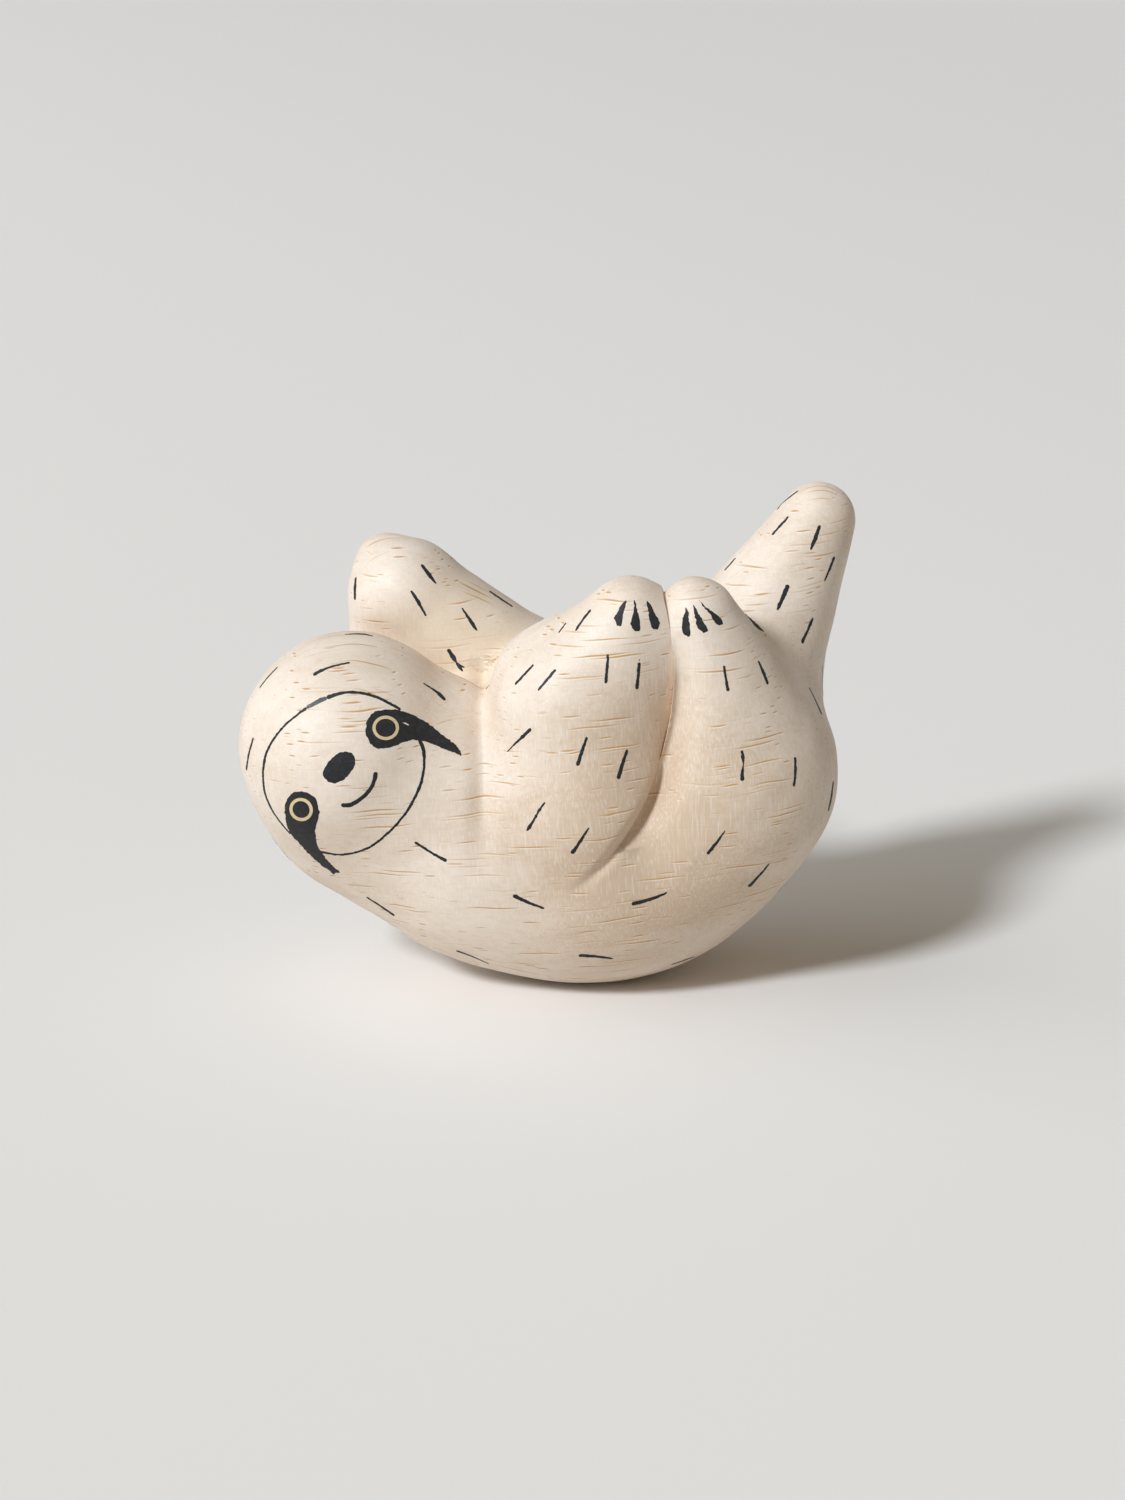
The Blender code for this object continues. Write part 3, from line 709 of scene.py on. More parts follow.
# The painted face on the near side of the head, in black with tan eye rings, brushed on over the whitewash
# and a little ragged where the bristles crossed the grain. The paint is a thin film that follows the wood.
# Outlines are in pixels of the photograph, across and down from its top left corner.
FACE_OUTLINE = [
    [
        (400.7, 709.6, 2.0), (390.9, 704.0, 2.2), (379.7, 698.4, 2.2), (368.5, 694.2, 2.3),
        (357.2, 692.4, 2.2), (346.0, 692.1, 2.2), (336.2, 694.5, 2.6), (326.4, 697.7, 3.4),
    ],
    [
        (306.7, 707.8, 2.4), (298.3, 713.9, 1.7), (287.1, 723.0, 1.7), (278.7, 732.1, 1.8),
        (271.7, 741.9, 1.8), (266.7, 751.7, 2.0), (264.2, 761.6, 2.2), (263.0, 771.4, 1.8),
        (263.0, 780.0, 1.7), (264.6, 792.4, 1.8), (268.2, 802.2, 1.8), (273.1, 812.1, 1.8),
        (280.1, 821.9, 1.7), (287.1, 830.3, 1.6), (290.5, 834.0, 1.5),
    ],
    [
        (418.5, 738.0, 2.4), (422.1, 744.7, 3.0), (423.9, 751.7, 2.9), (424.3, 758.8, 2.3),
        (423.9, 768.6, 2.0), (422.1, 779.8, 2.1), (419.7, 786.8, 2.7), (416.5, 794.1, 2.3),
        (411.3, 804.4, 2.1), (406.6, 812.2, 1.9), (396.5, 824.7, 1.9), (388.1, 833.1, 1.8),
        (378.3, 841.5, 1.8), (368.5, 847.9, 1.7), (357.2, 852.2, 1.6), (346.0, 854.4, 1.8),
        (337.0, 854.7, 1.6), (329.2, 853.5, 1.7), (319.5, 851.6, 1.7),
    ],
]
WORN_OUTLINE = [[(326.8, 697.6, 3.2), (316.6, 702.0, 3.6), (306.4, 708.0, 2.6)]]
UPPER_PATCH = [
    (366.0, 722.0), (372.0, 713.9), (376.9, 711.0), (385.3, 709.6), (393.7, 709.2), (401.0, 710.4),
    (409.2, 713.2), (416.2, 716.7), (426.0, 722.0), (434.4, 728.6), (444.2, 736.3), (452.7, 742.6),
    (458.3, 747.5), (462.2, 755.0), (459.9, 756.4), (456.9, 753.1), (451.3, 751.7), (445.6, 749.6),
    (440.0, 747.2), (433.0, 744.0), (424.6, 741.6), (413.4, 739.8), (403.6, 741.9), (396.5, 745.4),
    (388.1, 747.8), (376.9, 748.9), (371.3, 744.7), (368.5, 740.5), (366.0, 736.3), (365.0, 730.0),
    (366.8, 726.8),
]
PATCH_SCRATCH = [(402.0, 722.6), (405.4, 722.5), (409.4, 724.9), (408.0, 725.6), (404.6, 723.8)]
LOWER_PATCH = [
    (300.4, 791.0), (306.7, 792.4), (311.6, 795.2), (316.6, 799.4), (318.2, 805.1), (319.4, 812.1),
    (318.2, 819.1), (315.9, 824.7), (314.9, 831.7), (315.9, 840.1), (318.0, 847.1), (322.2, 853.5),
    (327.8, 860.5), (333.4, 866.8), (341.0, 872.4), (338.3, 873.6), (335.6, 872.2), (333.8, 875.0),
    (331.4, 871.6), (323.6, 866.8), (315.2, 859.8), (306.7, 851.4), (298.3, 842.2), (291.3, 834.5),
    (287.8, 828.2), (285.7, 819.1), (284.6, 809.3), (285.7, 802.2), (288.5, 796.6), (293.4, 792.4),
]
EYE_RINGS = {
    "eye_ring_upper": ((385.6, 727.9), (13.2, 12.2), 0),
    "eye_ring_lower": ((301.3, 809.3), (11.9, 11.3), 40),
}
RING_WIDTH = 3.1
NOSE = [
    (346.0, 751.3), (351.6, 753.1), (355.1, 758.1), (355.3, 764.4), (352.3, 770.0), (348.1, 775.6),
    (343.2, 779.8), (337.6, 782.9), (332.0, 783.7), (327.8, 781.9), (325.7, 778.9), (323.7, 777.2),
    (322.4, 774.2), (323.3, 770.0), (325.7, 765.8), (329.2, 760.9), (334.1, 755.9), (340.4, 752.0),
]
MOUTH = [
    [
        (375.9, 772.0, 3.2), (374.8, 779.8, 3.1), (372.0, 786.8, 3.1), (367.1, 793.1, 3.0),
        (361.5, 798.7, 3.0), (354.4, 803.0, 3.3), (348.1, 805.8, 3.4), (341.1, 804.9, 3.3),
    ]
]
# Steps along an edge and across a film, in pixels, and the size of a pixel at the figure
BRUSH_STEP = 1.0
FILM_STEP = 1.7
FILM_GAP = 0.6
PHOTO_PIXEL = 0.138 * MM
SHAPE_ROUNDS = 3
STROKE_ROUNDS = 14
OVAL_POINTS = 48
RAGGEDNESS = 0.1
WOBBLE = 0.7
BLUNT_END = 0.1
LEAST_END = 0.03
BRUSH_SPREAD = 1.22
LEAST_TURN = 0.4
PAINT_HEIGHT = 0.035 * MM
RIM_HEIGHT = 0.014 * MM
PAINT_DEPTH = 0.05 * MM
PATCH_LIFT = 0.008 * MM
RING_LIFT = 0.05 * MM
STREAK_SCALE = 1400
# Each paint's colour, its worn colour and how much of the bare pores shows
BARE_PORE = (0.16, 0.12, 0.09, 1)
BLACK = ((0.012, 0.012, 0.014, 1), (0.027, 0.026, 0.027, 1), 0.12)
THIN_BLACK = ((0.08, 0.08, 0.085, 1), (0.2, 0.19, 0.19, 1), 0.35)
TAN = ((0.72, 0.54, 0.31, 1), (0.80, 0.64, 0.42, 1), 0.15)
HEAD = ("head", "torso")

bristles = np.random.default_rng(11)
skins = {
    name: BVHTree.FromObject(block, bpy.context.evaluated_depsgraph_get()) for name, block in carved.items()
}


def photo_sight(spot):
    """The camera's line of sight through a pixel of the photograph: its start and its heading."""
    across = (spot[0] - PHOTO_WIDTH / 2) * PIXEL
    up = (PHOTO_HEIGHT / 2 - spot[1]) * PIXEL
    heading = -toward_camera + np.array((across, 0, 0)) + picture_up * up
    return Vector(eye), Vector(heading).normalized()


def nearest_wood(place, blocks):
    return min((skins[name].find_nearest(place) for name in blocks), key=lambda hit: hit[3])[0]


def on_wood(spots, sight, blocks):
    """Where lines of sight first meet the blocks. One that just misses goes to the wood beside it."""
    places = []
    for spot in spots:
        hits = [skins[name].ray_cast(*sight(spot)) for name in blocks]
        hits = [hit for hit in hits if hit[0]]
        places.append(min(hits, key=lambda hit: hit[3])[0] if hits else None)
    found = [place for place in places if place]
    middle = sum(found, Vector()) / len(found)
    for index, spot in enumerate(spots):
        if places[index] is None:
            start, heading = sight(spot)
            places[index] = nearest_wood(start + heading * (middle - start).dot(heading), blocks)
    return np.array([tuple(place) for place in places])


def lengths_along(line):
    return np.concatenate([[0], np.cumsum(np.linalg.norm(np.diff(line, axis=0), axis=1))])


def columns_at(places, lengths, line):
    """The columns of a line, given at lengths along it, read at other places."""
    return np.stack([np.interp(places, lengths, column) for column in line.T], axis=-1)


def spaced(line, lengths, step):
    """Places one step apart along a line, and its columns there."""
    along = np.linspace(0, lengths[-1], max(4, round(lengths[-1] / step)) + 1)
    return along, columns_at(along, lengths, line)


def ragged(count):
    """Small uneven steps from bristle to bristle, in shares of a brush step."""
    steps = bristles.normal(size=count + 2)
    return (steps[2:] + steps[1:-1] * 2 + steps[:-2]) * RAGGEDNESS


def shape_patch(points, sight, blocks, unit=1.0, holes=()):
    """A filled shape seen along lines of sight: its edges and how its spots lie on the wood."""
    line = np.array([*points, points[0]], float)
    line = spaced(line, lengths_along(line), BRUSH_STEP * unit)[1][:-1]
    for _ in range(SHAPE_ROUNDS):
        line = (np.roll(line, 1, axis=0) + line * 2 + np.roll(line, -1, axis=0)) / 4
    heading = np.roll(line, -1, axis=0) - np.roll(line, 1, axis=0)
    heading /= np.maximum(np.linalg.norm(heading, axis=1), 1e-9)[:, None]
    side = np.stack([-heading[:, 1], heading[:, 0]], axis=-1)
    edge = line + side * ragged(len(line))[:, None] * unit
    return [edge, *holes], unit, lambda spots: on_wood(spots, sight, blocks)


def stroke_patch(points, sight, blocks, unit=1.0):
    """One brush stroke of points (across, down, width in pixels). Its width is laid off on the wood."""
    points = np.asarray(points, float)
    _, seen = spaced(points, lengths_along(points[:, :2]), BRUSH_STEP * unit)
    line = on_wood(seen[:, :2], sight, blocks)
    for _ in range(STROKE_ROUNDS):
        line[1:-1] = (line[:-2] + line[1:-1] * 2 + line[2:]) / 4
    line = np.column_stack([line, seen[:, 2] * PHOTO_PIXEL / 2 * BRUSH_SPREAD])
    even, line = spaced(line, lengths_along(line[:, :3]), BRUSH_STEP * PHOTO_PIXEL)
    half = line[:, 3]
    line = np.array([tuple(nearest_wood(Vector(place), blocks)) for place in line[:, :3]])
    slope = slope_of(line, figure)
    side = normed(np.cross(slope, np.gradient(line, axis=0)))
    turned_away = side @ np.array(sight(points[0, :2])[1])
    half = half / np.sqrt(np.maximum(1 - turned_away**2, LEAST_TURN))
    from_end = np.minimum(even, even[::-1]) + BLUNT_END * PHOTO_PIXEL
    half = half * np.sqrt(np.clip(1 - (1 - np.minimum(from_end / half, 1)) ** 2, LEAST_END, 1))
    wobble = np.minimum(BRUSH_STEP * PHOTO_PIXEL, half) * WOBBLE
    left = np.stack([even, half + ragged(len(even)) * wobble], axis=-1)
    right = np.stack([even, -half + ragged(len(even)) * wobble], axis=-1)

    def laid(spots):
        wide = columns_at(spots[:, 0], even, line) + columns_at(spots[:, 0], even, side) * spots[:, 1:2]
        return np.array([tuple(nearest_wood(Vector(place), blocks)) for place in wide])

    return [np.vstack([left, right[::-1]])], PHOTO_PIXEL, laid


def oval(centre, half, turn):
    angles = np.linspace(0, 2 * math.pi, OVAL_POINTS + 1)[:-1]
    turn = math.radians(turn)
    edge = np.stack([np.cos(angles) * half[0], np.sin(angles) * half[1]], axis=-1)
    return edge @ np.array(((math.cos(turn), math.sin(turn)), (-math.sin(turn), math.cos(turn)))) + centre


def within(spots, loops):
    """Which spots lie inside the loops, and not in a loop inside a loop."""
    count = np.zeros(len(spots), int)
    for loop in loops:
        after = np.roll(loop, -1, axis=0)
        crossing = (loop[:, 1] > spots[:, 1:2]) != (after[:, 1] > spots[:, 1:2])
        rise = np.where(after[:, 1] == loop[:, 1], 1, after[:, 1] - loop[:, 1])
        cut_at = loop[:, 0] + (spots[:, 1:2] - loop[:, 1]) * (after[:, 0] - loop[:, 0]) / rise
        count += (crossing & (spots[:, :1] < cut_at)).sum(axis=1)
    return count % 2 == 1


def film(patch, lift):
    """Points and faces of a closed thin film of paint over a patch of loops, their unit and their placing."""
    loops, unit, laid = patch
    rims, edges = [], []
    for loop in loops:
        start = len(rims)
        rims += [tuple(spot) for spot in loop]
        edges += [(start + n, start + (n + 1) % len(loop)) for n in range(len(loop))]
    rims = np.array(rims)
    step = FILM_STEP * unit
    rows = np.arange(rims[:, 1].min(), rims[:, 1].max(), step)
    columns = np.arange(rims[:, 0].min(), rims[:, 0].max(), step)
    fill = np.array([(column + step / 2 * (n % 2), row) for n, row in enumerate(rows) for column in columns])
    fill = fill[within(fill, loops)]
    if len(fill):
        gap = np.linalg.norm(fill[:, None] - rims[None], axis=-1).min(axis=1)
        fill = fill[gap > FILM_GAP * step]
    spots = [Vector(spot) / unit for spot in [*rims, *fill]]
    spots, _, triangles, *_ = delaunay_2d_cdt(spots, edges, [], 0, 0.001)
    spots = np.array([tuple(spot) for spot in spots]) * unit
    triangles = np.array(triangles)
    triangles = triangles[within(spots[triangles].mean(axis=1), loops)]
    used, triangles = np.unique(triangles, return_inverse=True)
    triangles = triangles.reshape(-1, 3)
    places = laid(spots[used])
    slope = normed(slope_of(places, lambda points: sanded(points, None)))
    corners = places[triangles]
    turned = np.cross(corners[:, 1] - corners[:, 0], corners[:, 2] - corners[:, 0])
    if (turned * slope[triangles[:, 0]]).sum() < 0:
        triangles = triangles[:, ::-1]
    sides = np.concatenate([triangles[:, [0, 1]], triangles[:, [1, 2]], triangles[:, [2, 0]]])
    one_way = {tuple(side) for side in sides.tolist()}
    rim = sorted((a, b) for a, b in one_way if (b, a) not in one_way)
    on_rim = np.zeros(len(places), bool)
    on_rim[[a for a, _ in rim]] = True
    height = np.where(on_rim, RIM_HEIGHT, PAINT_HEIGHT) + lift
    count = len(places)
    points = np.concatenate([places + slope * height[:, None], places - slope * PAINT_DEPTH])
    faces = triangles.tolist() + (triangles[:, ::-1] + count).tolist()
    faces += [[b, a, a + count, b + count] for a, b in rim]
    return points, faces


def painted_surface(name, colour, worn_colour, pore_share):
    material, start = start_material(name)
    place = along_grain(start)
    streak = start.node("ShaderNodeTexNoise", {}, {"Vector": place, "Scale": STREAK_SCALE, "Detail": 3})
    pore = all_pores(start)
    tint = (streak.fade(0.4, 0.75) * 0.8).mix(colour, worn_colour)
    tint = (pore * pore_share).mix(tint, BARE_PORE)
    relief = {"Height": streak * 0.5 - pore, "Strength": 0.3, "Distance": 0.05 * MM}
    bump = start.node("ShaderNodeBump", {}, relief)
    looks = {"Base Color": tint, "Roughness": 0.5 + streak * 0.15, "Normal": bump, "Specular IOR Level": 0.3}
    end_material(start, looks)
    return material


black_paint = painted_surface("black_paint", *BLACK)
thin_black_paint = painted_surface("thin_black_paint", *THIN_BLACK)
tan_paint = painted_surface("tan_paint", *TAN)


def paint(name, patches, material=black_paint, lift=0.0):
    """One painted piece made of patches laid on the wood."""
    points, faces, start = [], [], 0
    for patch in patches:
        more_points, more_faces = film(patch, lift)
        points.append(more_points)
        faces += [[start + index for index in face] for face in more_faces]
        start += len(more_points)
    piece = add_object(name, mesh_of(name, np.concatenate(points), faces))
    shade_by_field(piece.data, lambda places: sanded(places, None))
    piece.data.materials.append(material)
    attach(piece, "root")
    return piece


def strokes(lines, blocks, sight=photo_sight, unit=1.0):
    return [stroke_patch(line, sight, blocks, unit) for line in lines]


def shapes(outlines, blocks, **more):
    return [shape_patch(outline, photo_sight, blocks, **more) for outline in outlines]


paint("face_outline", strokes(FACE_OUTLINE, HEAD))
paint("face_outline_worn", strokes(WORN_OUTLINE, HEAD), material=thin_black_paint)
paint("eye_patch_upper", shapes([UPPER_PATCH], HEAD, holes=[np.array(PATCH_SCRATCH)]), lift=PATCH_LIFT)
paint("eye_patch_lower", shapes([LOWER_PATCH], HEAD), lift=PATCH_LIFT)
for name, (centre, half, turn) in EYE_RINGS.items():
    inner = (half[0] - RING_WIDTH, half[1] - RING_WIDTH)
    loops = [oval(centre, half, turn), oval(centre, inner, turn)]
    ring = (loops, 1.0, lambda spots: on_wood(spots, photo_sight, HEAD))
    paint(name, [ring], tan_paint, RING_LIFT)
paint("nose", shapes([NOSE], HEAD))
paint("mouth", strokes(MOUTH, HEAD))


# Three black claws painted at the end of each limb, on its outer side. Each is one dab of the brush, thin
# where it starts at the tip and blunt and ragged where it ends.
NEAR_CLAWS = {
    "claws_near_arm": [
        [
            (624.3, 600.9), (626.4, 600.0), (625.6, 606.4), (623.1, 613.6), (623.0, 618.5), (621.7, 626.1),
            (616.5, 626.0), (615.6, 620.6), (613.2, 618.3), (615.6, 615.8), (618.3, 610.6), (620.5, 605.7),
        ],
        [
            (634.3, 599.1), (635.6, 602.1), (636.7, 610.0), (638.9, 616.6), (640.3, 623.3), (640.3, 630.0),
            (637.1, 631.8), (633.4, 630.2), (631.9, 626.9), (630.0, 624.5), (631.0, 619.7), (633.1, 614.8),
            (634.0, 608.8), (633.8, 601.5),
        ],
        [
            (646.4, 600.0), (647.6, 601.7), (651.0, 604.5), (652.8, 609.4), (654.6, 613.6), (658.5, 619.1),
            (659.8, 624.3), (657.7, 629.6), (652.0, 629.1), (651.0, 624.5), (649.2, 619.7), (648.8, 614.8),
            (648.0, 610.0), (646.8, 604.5),
        ],
    ],
    "claws_near_leg": [
        [
            (685.0, 607.0), (686.8, 608.0), (688.0, 611.3), (688.6, 617.2), (689.7, 624.3), (690.7, 630.2),
            (689.7, 637.2), (683.8, 634.3), (682.1, 630.2), (681.8, 625.5), (682.7, 617.2), (685.0, 612.5),
        ],
        [
            (692.5, 604.0), (694.1, 605.4), (698.6, 613.1), (701.5, 617.8), (703.3, 621.9), (706.9, 626.6),
            (708.6, 630.8), (703.9, 633.1), (699.2, 630.2), (696.8, 624.9), (695.6, 620.1), (694.5, 613.7),
            (693.3, 608.3),
        ],
        [
            (698.6, 599.4), (701.5, 602.2), (706.9, 608.0), (710.4, 609.5), (713.9, 612.5), (719.2, 616.6),
            (722.8, 620.7), (722.8, 624.3), (719.2, 625.7), (715.7, 623.7), (712.2, 618.4), (709.8, 613.7),
            (705.7, 609.4), (702.3, 605.2),
        ],
    ],
}
# One claw's edge in shares of its width and its length, and the far claws' ends, (x, z) in mm
CLAW_EDGE = [
    (-0.1, 0), (0.1, 0), (0.2, 0.3), (0.4, 0.6), (0.5, 0.85), (0.35, 1), (-0.3, 0.98), (-0.5, 0.8),
    (-0.35, 0.5), (-0.15, 0.25),
]
FAR_CLAWS = {
    "claws_far_arm": [
        ((-24.7, 57.6), (-25.4, 54.2)), ((-22.8, 58.2), (-22.6, 53.9)), ((-20.9, 57.7), (-19.7, 54.1)),
    ],
    "claws_far_leg": [
        ((34.9, 64.2), (33.7, 60.5)), ((37.0, 64.8), (36.5, 60.5)), ((39.0, 64.2), (39.3, 60.3)),
    ],
}
FAR_CLAW_WIDTH = 1.2
FAR_OFF = 100


def far_sight(spot):
    """A line of sight from straight behind, through a place (x, z) in mm."""
    return Vector((spot[0] * MM, FAR_OFF * MM, spot[1] * MM)), Vector((0, -1, 0))


for name, claws in NEAR_CLAWS.items():
    paint(name, shapes(claws, (name.removeprefix("claws_"),)))
for name, claws in FAR_CLAWS.items():
    patches = []
    for top, end in claws:
        down = np.subtract(end, top)
        across = np.array((down[1], -down[0])) / np.linalg.norm(down) * FAR_CLAW_WIDTH
        edge = [np.add(top, down * share) + across * wide for wide, share in CLAW_EDGE]
        patches.append(shape_patch(edge, far_sight, (name.removeprefix("claws_"),), PHOTO_PIXEL / MM))
    paint(name, patches)


# Short black strokes for the fur, brushed on all over the figure along the way that the hair lies. Most are
# thin where the brush came down and thicker where it lifted. Those that the photograph shows are points in
# its pixels with the stroke's width there.
NEAR_FUR = {
    "fur_strokes_head": [
        [(253.4, 737.7, 1.8), (249.0, 753.0, 1.8), (246.3, 770.0, 2.4)],
        [(259.4, 688.1, 1.6), (268.0, 677.0, 1.9), (277.6, 667.0, 1.6)],
        [(313.2, 675.2, 2.5), (320.0, 671.0, 2.4), (331.1, 666.6, 1.6), (349.8, 662.6, 1.4)],
        [(344.8, 634.3, 1.5), (356.0, 633.9, 2.4), (364.0, 634.0, 3.0), (372.8, 636.2, 1.3)],
        [
            (423.2, 683.1, 1.0), (430.0, 687.4, 1.4), (436.5, 691.5, 1.8), (440.0, 694.6, 3.0),
            (445.2, 700.3, 2.3),
        ],
        [(414.8, 842.0, 1.9), (428.0, 850.6, 1.9), (438.0, 856.6, 2.4), (446.8, 860.9, 2.9)],
    ],
    "fur_strokes_body": [
        [(366.4, 897.0, 1.6), (380.0, 905.6, 2.0), (394.5, 915.7, 2.7)],
        [(456.3, 950.6, 2.4), (470.0, 955.4, 1.7), (489.0, 963.8, 1.1)],
        [(513.0, 895.4, 3.0), (528.0, 902.4, 2.4), (544.2, 908.4, 1.8)],
        [(578.6, 955.4, 2.9), (595.0, 956.3, 2.2), (613.0, 958.5, 1.5)],
        [(631.6, 904.2, 3.2), (650.0, 899.4, 2.7), (660.0, 895.8, 2.0), (667.0, 892.3, 1.5)],
        [(671.2, 964.5, 2.0), (683.0, 960.8, 2.4), (694.5, 956.6, 2.0)],
    ],
    "fur_strokes_near_arm": [
        [
            (526.6, 830.8, 1.6), (529.5, 827.4, 3.3), (532.5, 822.3, 1.9), (539.5, 809.5, 1.8),
            (545.0, 802.3, 1.5),
        ],
        [(571.4, 853.5, 3.9), (574.5, 850.0, 2.7), (582.0, 838.5, 2.2), (589.0, 827.8, 1.2)],
        [(507.0, 751.8, 0.8), (517.0, 742.0, 1.6), (524.0, 735.4, 2.9), (531.0, 728.6, 2.4)],
        [(514.9, 684.5, 1.5), (524.0, 675.0, 1.9), (533.5, 664.5, 1.4)],
        [(538.0, 690.6, 1.6), (547.0, 679.8, 1.9), (555.6, 669.4, 2.0)],
        [(575.5, 630.8, 1.5), (583.0, 619.4, 1.6), (590.7, 609.6, 1.6)],
        [(558.7, 632.8, 0.9), (566.2, 622.7, 1.1)],
        [(577.3, 765.8, 2.9), (582.5, 750.0, 2.7), (587.0, 737.0, 2.1)],
        [(618.1, 779.0, 3.6), (621.5, 767.0, 3.0), (627.2, 749.4, 2.0)],
        [(605.6, 683.5, 2.8), (607.2, 668.0, 2.4), (608.0, 654.2, 1.6)],
        [(636.8, 689.4, 2.6), (638.2, 676.0, 2.4), (639.2, 662.4, 2.3)],
        [(639.3, 659.4, 1.0), (639.3, 660.6, 1.0)],
        [(486.0, 689.0, 1.8), (489.2, 684.8, 1.2)],
    ],
    "fur_strokes_near_leg": [
        [(724.0, 665.6, 1.7), (725.6, 677.0, 1.9), (728.2, 691.3, 2.6)],
        [(758.2, 660.8, 1.4), (764.0, 673.6, 2.4), (768.0, 684.4, 1.9)],
        [
            (741.7, 750.4, 2.2), (743.0, 753.6, 2.0), (742.2, 757.0, 3.0), (743.4, 762.0, 1.3),
            (743.8, 765.4, 0.8), (742.6, 768.6, 1.8), (742.0, 774.0, 2.9), (742.2, 780.9, 3.2),
        ],
        [(795.1, 757.1, 1.8), (795.5, 772.0, 2.2), (793.9, 786.6, 1.7)],
        [(725.1, 830.6, 1.2), (718.0, 840.8, 1.9), (707.4, 854.2, 2.7)],
        [(769.4, 863.3, 1.0), (763.0, 871.6, 1.8), (748.7, 886.9, 2.6)],
        [(808.9, 687.4, 1.5), (815.0, 699.0, 2.2), (821.7, 714.5, 3.0)],
        [(833.3, 781.0, 2.2), (831.5, 797.0, 3.2), (828.2, 811.5, 2.4)],
    ],
    "fur_strokes_far_arm": [
        [(421.3, 564.4, 2.0), (429.0, 574.5, 3.4), (436.0, 583.7, 1.2)],
        [(410.8, 590.6, 1.8), (418.2, 601.6, 2.7), (421.6, 608.0, 2.0), (426.2, 616.0, 1.6)],
        [(461.7, 607.8, 1.0), (469.6, 619.4, 2.6), (472.4, 624.0, 3.0), (477.2, 630.6, 1.5)],
        [(447.8, 649.0, 2.6), (450.8, 653.6, 3.2), (453.8, 658.4, 4.0), (456.3, 662.4, 1.4)],
        [(455.8, 662.0, 1.2), (459.6, 666.4, 4.0), (462.8, 671.4, 1.0)],
        [(459.0, 664.4, 1.2), (464.4, 667.6, 1.0)],
        [(489.2, 591.0, 1.7), (501.0, 599.0, 2.4), (512.8, 606.8, 1.7)],
        [(355.8, 577.1, 2.0), (354.9, 588.0, 2.8), (354.9, 600.1, 2.2)],
    ],
    "fur_strokes_far_leg": [
        [(788.5, 516.5, 1.5), (780.5, 525.6, 1.8), (771.9, 534.9, 1.4)],
        [(798.5, 490.6, 1.7), (787.0, 499.0, 2.0), (776.2, 508.9, 1.7)],
        [(819.9, 525.3, 2.4), (816.0, 536.4, 3.3), (813.0, 544.4, 3.0), (810.6, 549.8, 1.5)],
        [(834.5, 556.6, 1.9), (829.5, 569.4, 1.8), (824.4, 581.2, 1.2)],
        [(788.0, 584.7, 3.7), (784.0, 595.0, 3.2), (779.6, 604.6, 3.2), (777.3, 610.2, 1.8)],
        [(813.0, 617.6, 1.8), (810.4, 624.0, 2.4), (807.0, 631.6, 2.0), (801.8, 643.1, 2.7)],
        [(735.6, 557.8, 1.7), (730.2, 564.2, 2.0), (724.4, 570.4, 1.6)],
        [(744.0, 613.7, 1.8), (754.0, 623.4, 2.8), (763.5, 632.5, 2.4)],
    ],
}
# The far side, which the photograph doesn't show: each stroke's middle (x, z) in mm and its lie in degrees
FAR_FUR = {
    "fur_strokes_head_far": [(-36, 40, 118), (-30, 45.5, 150), (-38, 30, 86), (-32, 33, 105), (-31, 23, 60)],
    "fur_strokes_body_far": [
        (-21, 17, 35), (-13, 22, 30), (-9, 12, 28), (-5, 29, 20), (-2, 19, 15), (1, 6, 14), (6, 27, 5),
        (7, 13, 0), (14, 20, -10), (15, 7, -15), (18, 32, -35), (22, 14, -40), (25, 24, -60), (30, 18, -62),
        (31, 30, -80), (10, 36, 10), (-1, 38, 25), (17, 42, -45),
    ],
    "fur_strokes_far_arm_outer": [
        (-21, 50, -52), (-15.5, 52.5, -48), (-17, 46, -50), (-10, 47.5, -40), (-9, 41, -42),
    ],
    "fur_strokes_far_leg_outer": [
        (34, 55, 66), (39.5, 54, 62), (30, 49, 62), (36, 47, 70), (28, 41, 66), (33.5, 39, 78),
    ],
    "fur_strokes_nape": [(-17, 33, 40), (-24, 38, 60), (-25, 28, 50)],
}
# Both ends, 1 for the rump and -1 for the crown, with each stroke's middle and lie as seen from there
END_FUR = {
    "fur_strokes_rump": (
        1, [(-5, 41, 88), (2, 28, 92), (-9, 29, 84), (6, 16, 98), (-3, 18, 90), (0, 9, 93), (-11, 51, 80)],
    ),
    "fur_strokes_crown": (-1, [(0, 30, 84), (-5, 20, 97), (3, 14, 75), (1, 42, 95)]),
}
# A plain stroke's length in mm, the range of its share, and its widths at both ends in pixels
PLAIN_STROKE = 4.2
STROKE_SHARE = (0.85, 1.1)
THIN_END = (1.2, 1.9)
THICK_END = (2.3, 3.5)
FUR_BLOCKS = {
    "fur_strokes_head": HEAD,
    "fur_strokes_body": ("torso", "head"),
    "fur_strokes_near_arm": ("near_arm", "torso", "head"),
    "fur_strokes_near_leg": ("near_leg", "torso"),
    "fur_strokes_far_arm": ("far_arm",),
    "fur_strokes_far_leg": ("far_leg",),
}

for name, lines in NEAR_FUR.items():
    paint(name, strokes(lines, FUR_BLOCKS[name]))


def end_sight(side):
    """Lines of sight onto the rump or the crown from straight off that end, through places in mm."""
    return lambda spot: (Vector((side * FAR_OFF, -side * spot[0], spot[1])) * MM, Vector((-side, 0, 0)))


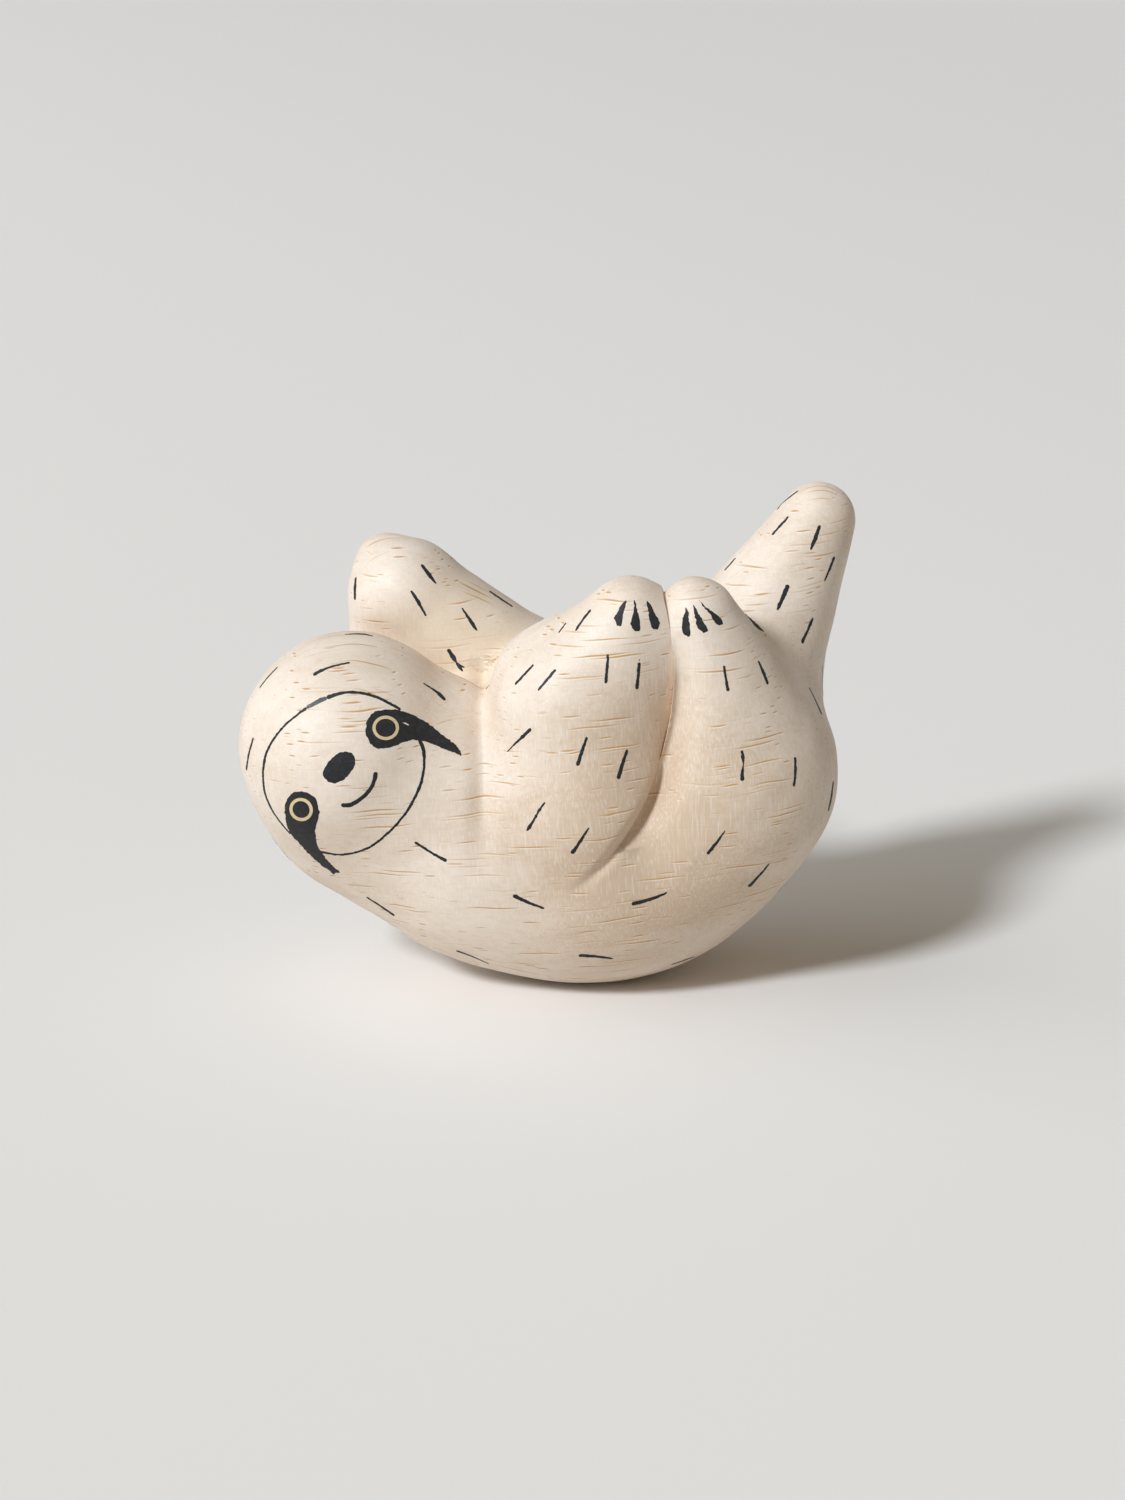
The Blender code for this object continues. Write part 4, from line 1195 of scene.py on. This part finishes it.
def paint_plain(name, places, sight):
    """Strokes of one kind, thin at one end, at places in mm seen straight from the back or an end."""
    lines = []
    for across, up, lie in places:
        half = np.array((math.cos(math.radians(lie)), math.sin(math.radians(lie)))) * PLAIN_STROKE / 2
        half = half * bristles.uniform(*STROKE_SHARE)
        thin, thick = bristles.uniform(*THIN_END), bristles.uniform(*THICK_END)
        middle = np.array((across, up))
        lines.append([(*(middle + half), thin), (*middle, (thin + thick) / 2), (*(middle - half), thick)])
    paint(name, strokes(lines, tuple(carved), sight, PHOTO_PIXEL / MM))


for name, places in FAR_FUR.items():
    paint_plain(name, places, far_sight)
for name, (side, places) in END_FUR.items():
    paint_plain(name, places, end_sight(side))


# The table top and the light: a pale sheet that runs out of sight, with painted shade that darkens it
# towards the right and the back and a dimmer tone far off, a soft lamp and a wide window on the left, and a
# warm glow from the room. They aren't part of the object.
SHEET_SIZE = 8.0
SHEET_SEEN = (0.94, 0.888, 0.858, 1)
SHEET_PAINTED_SHADE = (0.80, 0.755, 0.735, 1)
SHEET_FAR = (0.84, 0.805, 0.785, 1)
SHEET_LIT = (0.76, 0.73, 0.69, 1)
SHADE_ACROSS, SHADE_AWAY = 0.8, 0.4
SHADE_REACH = (-0.2, 0.6)
FAR_REACH = (1.4, 3.6)
LAMP_COLOUR = (0.86, 0.94, 1.0)
# Each lamp's turn from the figure's length, rise, spread, all in degrees, and strength
LAMPS = {"soft_lamp": (48.5, 38.5, 11, 2.58), "wide_window": (8, 36, 70, 0.95)}
ROOM_GLOW = (1.0, 0.90, 0.69, 1)
ROOM_SEEN = (0.82, 0.82, 0.81, 1)
GLOW_STRENGTH = 0.17
SEEN_STRENGTH = 0.9
corners = np.array(((-1, -1, 0), (1, -1, 0), (1, 1, 0), (-1, 1, 0))) * SHEET_SIZE / 2
floor = add_object("table_top", mesh_of("table_top", corners, [(0, 1, 2, 3)]))


def seen_or_mirrored(start):
    """1 on what the viewer sees straight or in a glossy piece, 0 on what only lights other pieces."""
    seen = start.node("ShaderNodeLightPath", output="Is Camera Ray")
    return seen.math("MAXIMUM", seen, seen.beside("Is Glossy Ray"))


paper, start = start_material("pale_paper")
at = start.node("ShaderNodeSeparateXYZ", {}, {0: place_on(start)})
# Painted shade: the sheet's colour darkens towards the right and the back, as the light falls off
painted_shade_falloff = (at * SHADE_ACROSS + at.beside("Y") * SHADE_AWAY).fade(*SHADE_REACH)
far = start.vector("LENGTH", place_on(start), output="Value").fade(*FAR_REACH)
sheet = far.mix(painted_shade_falloff.mix(SHEET_SEEN, SHEET_PAINTED_SHADE), SHEET_FAR)
looks = {"Base Color": seen_or_mirrored(start).mix(SHEET_LIT, sheet), "Roughness": 0.9}
end_material(start, looks)
floor.data.materials.append(paper)

for name, (turn, rise, spread, strength) in LAMPS.items():
    turn, rise = math.radians(turn), math.radians(rise)
    lamp = add_object(name, bpy.data.lights.new(name, "SUN"))
    lamp.data.energy = strength
    lamp.data.angle = math.radians(spread)
    lamp.data.color = LAMP_COLOUR
    ground = Vector((math.cos(turn), math.sin(turn), 0))
    beam = ground * math.cos(rise) - Vector((0, 0, math.sin(rise)))
    lamp.rotation_euler = beam.to_track_quat("-Z", "Y").to_euler()
room = bpy.data.worlds.new("room")
room.use_nodes = True
room.node_tree.nodes.clear()
start = Wire(room.node_tree)
seen = seen_or_mirrored(start)
brightness = GLOW_STRENGTH + seen * (SEEN_STRENGTH - GLOW_STRENGTH)
glow = {"Color": seen.mix(ROOM_GLOW, ROOM_SEEN), "Strength": brightness}
sky = start.node("ShaderNodeBackground", {}, glow)
start.node("ShaderNodeOutputWorld", {}, {"Surface": sky})
bpy.context.scene.world = room
bpy.context.scene.view_settings.view_transform = "Standard"
